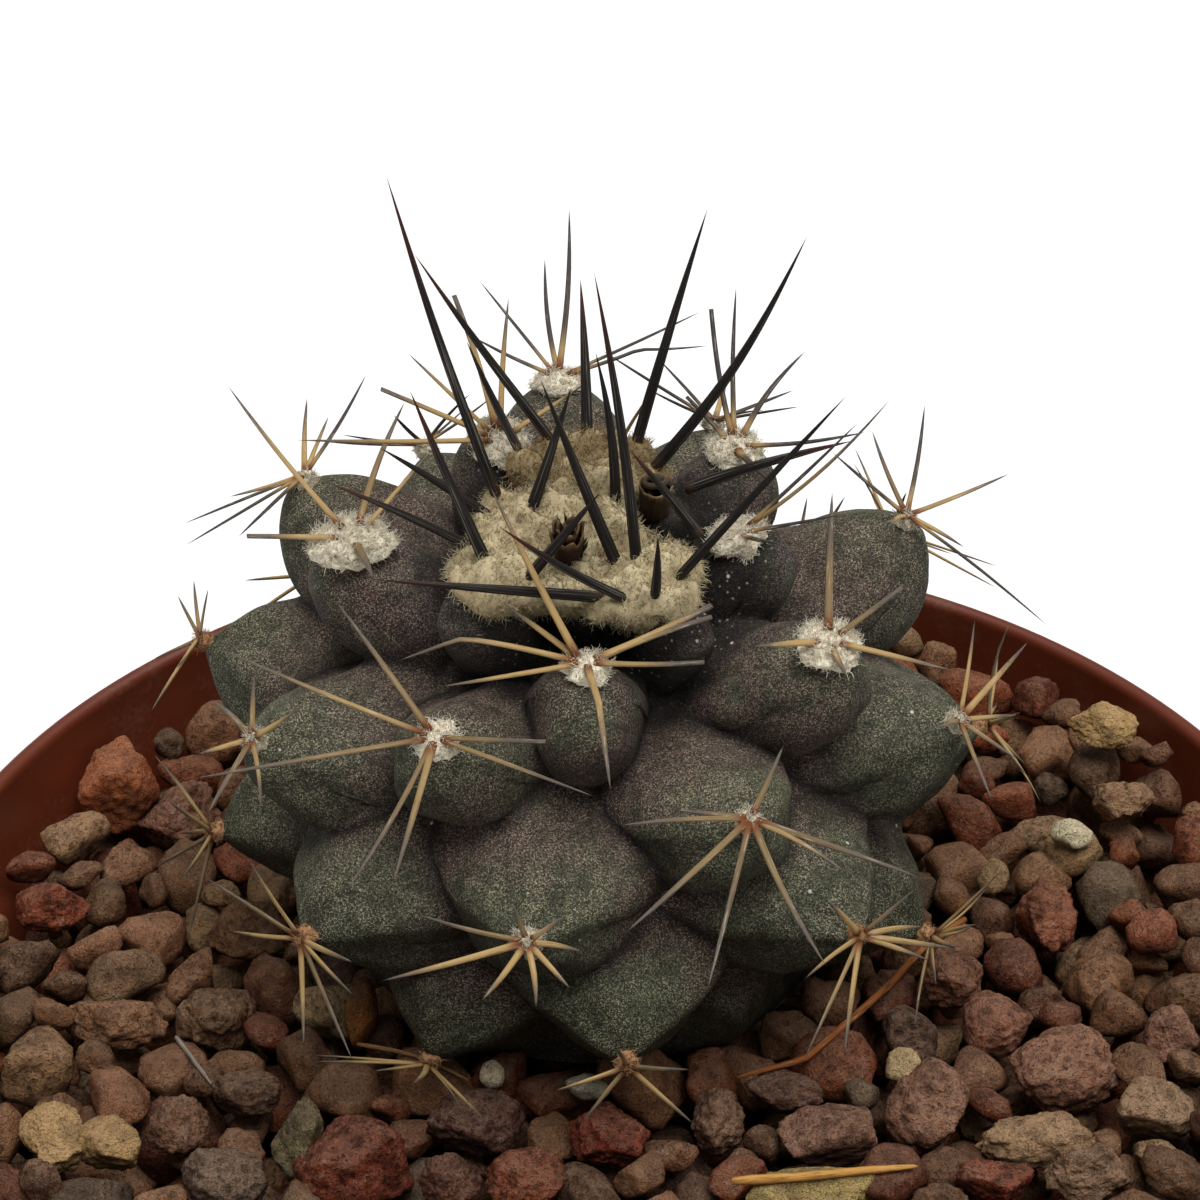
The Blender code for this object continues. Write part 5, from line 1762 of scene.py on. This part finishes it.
def make_areole_wool(k, settings, material):
    """The felt pad of an areole: a lumpy core under short curled hairs."""
    draw = np.random.default_rng(PAD_SEED + k)
    seat, outward = (np.array(part) for part in areole_frame(k)[:2])
    radius = pad_radius(k) * (TAN_SHARE if k >= TAN_FROM else 1)
    core = ball_mesh(PAD_DETAIL)
    points = unit(get_points(core))
    points *= swells(points, PAD_SWELLS, k, 1)[:, None]
    spread = OLD_SPREAD if old_pad(k) else YOUNG_SPREAD
    points *= (spread * radius, spread * radius, PAD_THICKNESS * PAD_HEIGHT)
    points[:, 2] += PAD_LIFT * PAD_HEIGHT
    lean = Vector(outward).to_track_quat("Z", "Y").to_matrix()
    set_points(core, points @ np.array(lean).T + seat)
    old = OLD_SHADE if old_pad(k) else 0.0
    set_attribute(core, "shade", old + draw.uniform(0, HAIR_SHADES, len(points)))
    count = int(PAD_HAIRS[0] + PAD_HAIRS[1] * (radius / MM) ** 2)
    roots, normals = spread_over(draw, core, count, outward, PAD_UNDERSIDE)
    follow, stray, out = PAD_HAIR_WAYS
    ways = follow * normals + stray * unit(draw.normal(size=normals.shape)) + out * outward
    lengths = draw.uniform(*PAD_HAIR_LENGTHS, len(roots)) * MM
    lengths *= PAD_HAIR_GROWTH[0] + PAD_HAIR_GROWTH[1] * radius / MM
    fuzz = hairs(draw, hair_paths(draw, roots, ways, lengths, PAD_CURL), settings.thickness, old)
    mesh = to_world(joined([core, fuzz]))
    new_piece(f"areole_wool_{k:02d}", mesh, material, f"areole_{k:02d}")


def wool_lumps():
    """The lumps of the crown's wool, with a tuft round the root of each black spine but the outer ones."""
    return WOOL_LUMPS + tuple((x, y, *TUFT) for x, y, *_ in CROWN_SPINES if x < BARE_FROM)


def wool_height(x, y):
    """Height of the crown's wool over its seat, as a soft union of its lumps."""
    total = 0
    for cx, cy, radius, height in wool_lumps():
        away = np.hypot(x - cx * MM, y - cy * MM) / (radius * MM)
        total = total + (height * MM * np.sqrt(np.clip(1 - away**2, 0, 1))) ** 4
    beside = np.hypot(x - FLOWER_PLACE.x, y - FLOWER_PLACE.y) / FLOWER_HOLLOW[0]
    return total**0.25 * (1 - FLOWER_HOLLOW[1] * np.exp(-(beside**4)))


def skin_under(body, x, y):
    """Height of the skin over the crown's seat under each place, as deep as the wool hangs down."""
    tree = tree_of([body])
    matrix = plant_matrix()
    down = matrix.to_3x3() @ Vector((0, 0, -1))
    heights = []
    for place in zip(x, y):
        hit = tree.ray_cast(matrix @ Vector((*place, CROWN_SEAT + WOOL_TOP)), down)[3]
        heights.append(WOOL_TOP - hit if hit else -WOOL_HANG)
    return np.clip(heights, -WOOL_HANG, 0)


def make_crown_wool(settings, material, body):
    """The matted wool of the growing point, lumpy, down to the skin, with hairs that fray over it."""
    draw = np.random.default_rng(WOOL_SEED)
    core = ball_mesh(WOOL_DETAIL)
    ball = unit(get_points(core))
    azimuth = np.arctan2(ball[:, 1], ball[:, 0])
    side = WOOL_SIDE
    share = np.where(ball[:, 2] > 0, 1 - ball[:, 2], 1 - np.maximum(-ball[:, 2] - side, 0) / (1 - side))
    edge = np.zeros(len(ball))
    for cx, cy, radius, _ in wool_lumps():
        out = math.hypot(cx, cy)
        turn = azimuth - math.atan2(cy, cx)
        inside = radius**2 - (out * np.sin(turn)) ** 2
        reach = out * np.cos(turn) + np.sqrt(np.maximum(inside, 0))
        edge = np.maximum(edge, np.where(inside > 0, reach, 0))
    around = turned_points(1, azimuth, WOOL_STRETCH * np.minimum(ball[:, 2], 0))
    spread = (edge + swells(around, WOOL_EDGE)) * MM * share**WOOL_ROUND
    flat = turned_points(spread, azimuth, 0 * azimuth)
    x, y, _ = flat.T
    tufts = swells(flat, WOOL_TUFTS)
    grains = swells(flat, WOOL_GRAINS)
    height = (wool_height(x, y) + WOOL_PLAY) * (1 + tufts) + grains * MM
    under = skin_under(body, x, y) - WOOL_PLAY
    drop = np.clip(-ball[:, 2] / side, 0, 1)
    z = np.where(ball[:, 2] > 0, height, height + (under - height) * drop)
    tucked = 1 - WOOL_TUCK * drop
    set_points(core, np.stack((x * tucked, y * tucked, CROWN_SEAT + z), axis=1))
    # Painted shade: darker between the tufts and grains, down the side under its overhang, and towards the
    # back, where it is partly old wool
    middle, rate = WOOL_SHADE
    shade = np.clip(middle - rate * tufts - rate * grains, 0, DEEPEST_SHADE) + np.interp(y, *OLD_AND_SHADED_WOOL)
    set_attribute(core, "shade", np.where(ball[:, 2] > 0, shade, shade + drop))
    roots, normals = spread_over(draw, core, settings.hairs, (0, 0, 1), WOOL_UNDERSIDE)
    follow, stray = WOOL_HAIR_WAYS
    ways = follow * normals + stray * unit(draw.normal(size=normals.shape))
    lengths = draw.uniform(*WOOL_HAIR_LENGTHS, len(roots)) * MM
    # The hairs at the back are darker too, partly old wool and partly painted shade
    old = np.interp(roots[:, 1], *OLD_AND_SHADED_WOOL)
    fuzz = hairs(draw, hair_paths(draw, roots, ways, lengths, WOOL_CURL, 3), settings.thickness, old)
    mesh = to_world(joined([core, fuzz]))
    new_piece("crown_wool_mat", mesh, material, "crown_wool")


def make_crown_spines(settings, material):
    """The black spines that stand out of the wool."""
    draw = np.random.default_rng(CROWN_SPINE_SEED)
    segments = [(i, *segment) for i, segment in enumerate(crown_segments())]
    share = np.linspace(0, 1, CROWN_SPINE_STATIONS)
    paths = spine_paths(segments, draw, CROWN_SPINE_STATIONS)
    steady, late, power = CROWN_SPINE_THINNING
    taper = 1 - steady * share - late * share**power
    radii = settings.crown_radius * draw.uniform(*CROWN_SPINE_STOUTNESS, (len(segments), 1)) * taper
    mesh = to_world(strands(paths, radii, CROWN_SPINE_SIDES, draw.uniform(0, 1, len(segments))))
    new_piece("crown_spines", mesh, material, "crown_wool")


def ragged_tube(draw, radii, height, teeth, bent, torn=TUBE_TORN):
    """A thin tube that widens upwards to a ragged mouth, from a ring of vertices drawn up and bent out."""
    bm = drawn_up(TUBE_SIDES, radii[0], TUBE_RINGS, height / (TUBE_RINGS - 1))[0]
    mesh = mesh_from(bm, "tube")
    points = get_points(mesh)
    share = points[:, 2] / height
    turn = np.arctan2(points[:, 1], points[:, 0])
    phase = draw.uniform(0, 2 * math.pi)
    tooth = np.abs(np.sin(teeth * turn / 2 + phase)) - 0.6
    tooth += 0.6 * noise_at(turned_points(1, turn, 0 * turn), 0.4, phase)
    radius = radii[0] + (radii[1] - radii[0]) * share**1.5 + bent * tooth * share**3
    radius *= 1 + 0.12 * noise_at(turned_points(1, turn, 1.5 * share), 0.35, phase)
    set_points(mesh, turned_points(radius, turn, points[:, 2] + torn * height * tooth * share**2))
    set_attribute(mesh, "along", share)
    set_attribute(mesh, "grain", turned_points(3, turn, 0.7 * share))

    def thicken(holder):
        solid = holder.modifiers.new("Wall", "SOLIDIFY")
        solid.thickness = TUBE_WALL
        solid.offset = -1

    return applied(mesh, thicken)


def make_flower():
    """The dry remnant of a flower, two dark ragged tubes in scales, and the bud behind it."""
    draw = np.random.default_rng(FLOWER_SEED)
    seat = FLOWER_PLACE + Vector((0, 0, CROWN_SEAT + GAP))
    tubes = []
    for shares, height, teeth in FLOWER_TUBES:
        radii = [part * radius for part, radius in zip(shares, FLOWER_RADII)]
        tube = ragged_tube(draw, radii, height * FLOWER_HEIGHT, teeth, TUBE_BEND)
        tube.transform(Matrix.Translation(seat) @ Matrix.Rotation(math.radians(FLOWER_LEAN), 4, "X"))
        tubes.append(tube)
    share = np.linspace(0, 1, SCALE_STATIONS)
    paths = []
    for ring, count in SCALE_RINGS:
        for i in range(count):
            turn = 2 * math.pi * (i + draw.uniform(-SCALE_STRAY, SCALE_STRAY)) / count + ring
            wide = FLOWER_RADII[1] * ring * draw.uniform(*SCALE_REACHES)
            tall = FLOWER_HEIGHT * draw.uniform(*SCALE_HEIGHTS)
            radius = FLOWER_RADII[0] + (wide - FLOWER_RADII[0]) * share**1.2
            radius = radius + draw.uniform(*SCALE_BENDS) * MM * share**3
            way = turn + draw.uniform(-SCALE_TWIST, SCALE_TWIST) * share**2
            path = turned_points(radius, way, tall * share)
            paths.append(path + draw.normal(0, SCALE_WAVER, path.shape) * share[:, None])
    paths = np.array(paths) + np.array(seat)
    radii = SCALE_RADIUS * draw.uniform(*SCALE_STOUTNESS, (len(paths), 1)) * (1 - SCALE_THINNING * share**2)
    scales = strands(paths, radii, SCALE_SIDES, draw.uniform(0, 1, len(paths)), flat=SCALE_FLATNESS)
    mesh = to_world(joined([*tubes, scales]))
    new_piece("dry_flower", mesh, petal_finish("dry_petal", PETAL_TONE), "withered_flower")
    make_bud(draw)


def make_bud(draw):
    """The dried bud, a plain tube with a curled rim."""
    bud = ragged_tube(draw, BUD_RADII, BUD_HEIGHT, BUD_TEETH, BUD_BEND, BUD_TORN)
    place = Vector(BUD_PLACE) + Vector((0, 0, CROWN_SEAT))
    stand = Matrix.Translation(place) @ Matrix.Rotation(math.radians(BUD_LEAN), 4, "X")
    bud.transform(stand)
    turns = np.linspace(0, RIM_TURNS * math.pi, RIM_STATIONS)
    curl = BUD_RADII[1] - RIM_CURL * turns / math.pi
    ring = np.stack((curl * np.cos(turns), 0.7 * curl * np.sin(turns), RIM_CLIMB * turns), axis=1)
    rim = strands(ring[None], np.full((1, len(turns)), RIM_THICKNESS), RIM_SIDES, np.array([0.4]))
    rim.transform(stand @ Matrix.Translation(Vector((0, 0, BUD_HEIGHT - RIM_SINK))))
    mesh = to_world(joined([bud, rim]))
    new_piece("dry_bud", mesh, petal_finish("dry_bud", BUD_TONE), "withered_flower")


def make_stage(settings):
    """Pale floor, soft light from above and the camera where the photo was taken from."""
    scene = bpy.context.scene
    bm = bmesh.new()
    bmesh.ops.create_grid(bm, x_segments=8, y_segments=8, size=FLOOR_SIZE)
    floor = linked("floor", mesh_from(bm, "floor"))
    floor.data.materials.append(floor_finish(settings))
    world = bpy.data.worlds.new("studio")
    world.use_nodes = True
    background = world.node_tree.nodes["Background"]
    background.inputs["Color"].default_value = (1, 1, 1, 1)
    background.inputs["Strength"].default_value = settings.sky
    scene.world = world
    light = bpy.data.lights.new("overhead", "SUN")
    light.angle = settings.softness
    light.energy = settings.key
    lamp = linked("overhead", light)
    lamp.rotation_mode = "QUATERNION"
    lamp.rotation_quaternion = Vector(LIGHT_FROM).to_track_quat("Z", "Y")
    right, up, forward = view_axes()
    camera = bpy.data.cameras.new("camera")
    camera.lens_unit = "FOV"
    camera.angle = VIEW_ANGLE
    camera.clip_start = 1 * MM
    viewer = linked("camera", camera)
    turned = Matrix((right, up, -forward)).transposed().to_4x4()
    viewer.matrix_world = Matrix.Translation(camera_place()) @ turned
    scene.camera = viewer
    scene.view_settings.view_transform = "Standard"


class COPIAPOA_OT_pot(bpy.types.Operator):
    """Model the plastic pot"""
    bl_idname = "copiapoa.pot"
    bl_label = "Pot"

    def execute(self, context):
        make_pot(context.scene.copiapoa_pot)
        return {"FINISHED"}


class COPIAPOA_OT_body(bpy.types.Operator):
    """Model the head of the cactus"""
    bl_idname = "copiapoa.body"
    bl_label = "Body"

    def execute(self, context):
        make_body(context.scene.copiapoa_skin)
        return {"FINISHED"}


class COPIAPOA_OT_gravel(bpy.types.Operator):
    """Pile the gravel round the body"""
    bl_idname = "copiapoa.gravel"
    bl_label = "Gravel"

    def execute(self, context):
        make_gravel(context.scene.copiapoa_gravel, bpy.data.objects["cactus_skin_body"])
        return {"FINISHED"}


class COPIAPOA_OT_crown(bpy.types.Operator):
    """Model the wool, the black spines and the dry flower of the growing point"""
    bl_idname = "copiapoa.crown"
    bl_label = "Crown"

    def execute(self, context):
        spines = context.scene.copiapoa_spines
        wool = context.scene.copiapoa_wool
        felt = wool_finish("crown_wool", wool.cream, 0.8)
        make_crown_wool(wool, felt, bpy.data.objects["cactus_skin_body"])
        make_crown_spines(spines, crown_spine_finish(spines))
        make_flower()
        return {"FINISHED"}


class COPIAPOA_OT_areoles(bpy.types.Operator):
    """Model the felt pad and the spines of every areole"""
    bl_idname = "copiapoa.areoles"
    bl_label = "Areoles"

    def execute(self, context):
        spines = context.scene.copiapoa_spines
        wool = context.scene.copiapoa_wool
        horn = radial_spine_finish(spines)
        white = wool_finish("areole_wool", wool.white, 0.36)
        tan = wool_finish("old_areole_wool", wool.tan, 0.5)
        for k, segments in areole_segments().items():
            make_areole_spines(k, segments, spines, horn)
            make_areole_wool(k, wool, tan if k >= TAN_FROM else white)
        return {"FINISHED"}


class COPIAPOA_OT_stage(bpy.types.Operator):
    """Set the floor, the light and the camera"""
    bl_idname = "copiapoa.stage"
    bl_label = "Stage"

    def execute(self, context):
        make_stage(context.scene.copiapoa_stage)
        return {"FINISHED"}


SETTINGS = {
    "copiapoa_pot": PotSettings,
    "copiapoa_gravel": GravelSettings,
    "copiapoa_skin": SkinSettings,
    "copiapoa_spines": SpineSettings,
    "copiapoa_wool": WoolSettings,
    "copiapoa_stage": StageSettings,
}
OPERATORS = (
    COPIAPOA_OT_stage,
    COPIAPOA_OT_pot,
    COPIAPOA_OT_body,
    COPIAPOA_OT_gravel,
    COPIAPOA_OT_crown,
    COPIAPOA_OT_areoles,
)


class COPIAPOA_PT_panel(bpy.types.Panel):
    """Sizes, colours and steps of the potted copiapoa"""
    bl_idname = "COPIAPOA_PT_panel"
    bl_label = "Potted Copiapoa"
    bl_space_type = "VIEW_3D"
    bl_region_type = "UI"
    bl_category = "Copiapoa"

    def draw(self, context):
        for name, group in SETTINGS.items():
            box = self.layout.box()
            box.label(text=group.__name__.replace("Settings", ""))
            for key in group.__annotations__:
                box.prop(getattr(context.scene, name), key)
        for operator in OPERATORS:
            self.layout.operator(operator.bl_idname)


def register():
    for name, group in SETTINGS.items():
        bpy.utils.register_class(group)
        setattr(bpy.types.Scene, name, PointerProperty(type=group))
    for item in (*OPERATORS, COPIAPOA_PT_panel):
        bpy.utils.register_class(item)


def unregister():
    for item in reversed((*OPERATORS, COPIAPOA_PT_panel)):
        bpy.utils.unregister_class(item)
    for name, group in SETTINGS.items():
        delattr(bpy.types.Scene, name)
        bpy.utils.unregister_class(group)


def main():
    register()
    bpy.ops.copiapoa.stage()
    bpy.ops.copiapoa.pot()
    bpy.ops.copiapoa.body()
    bpy.ops.copiapoa.gravel()
    bpy.ops.copiapoa.crown()
    bpy.ops.copiapoa.areoles()


if __name__ == "__main__":
    main()
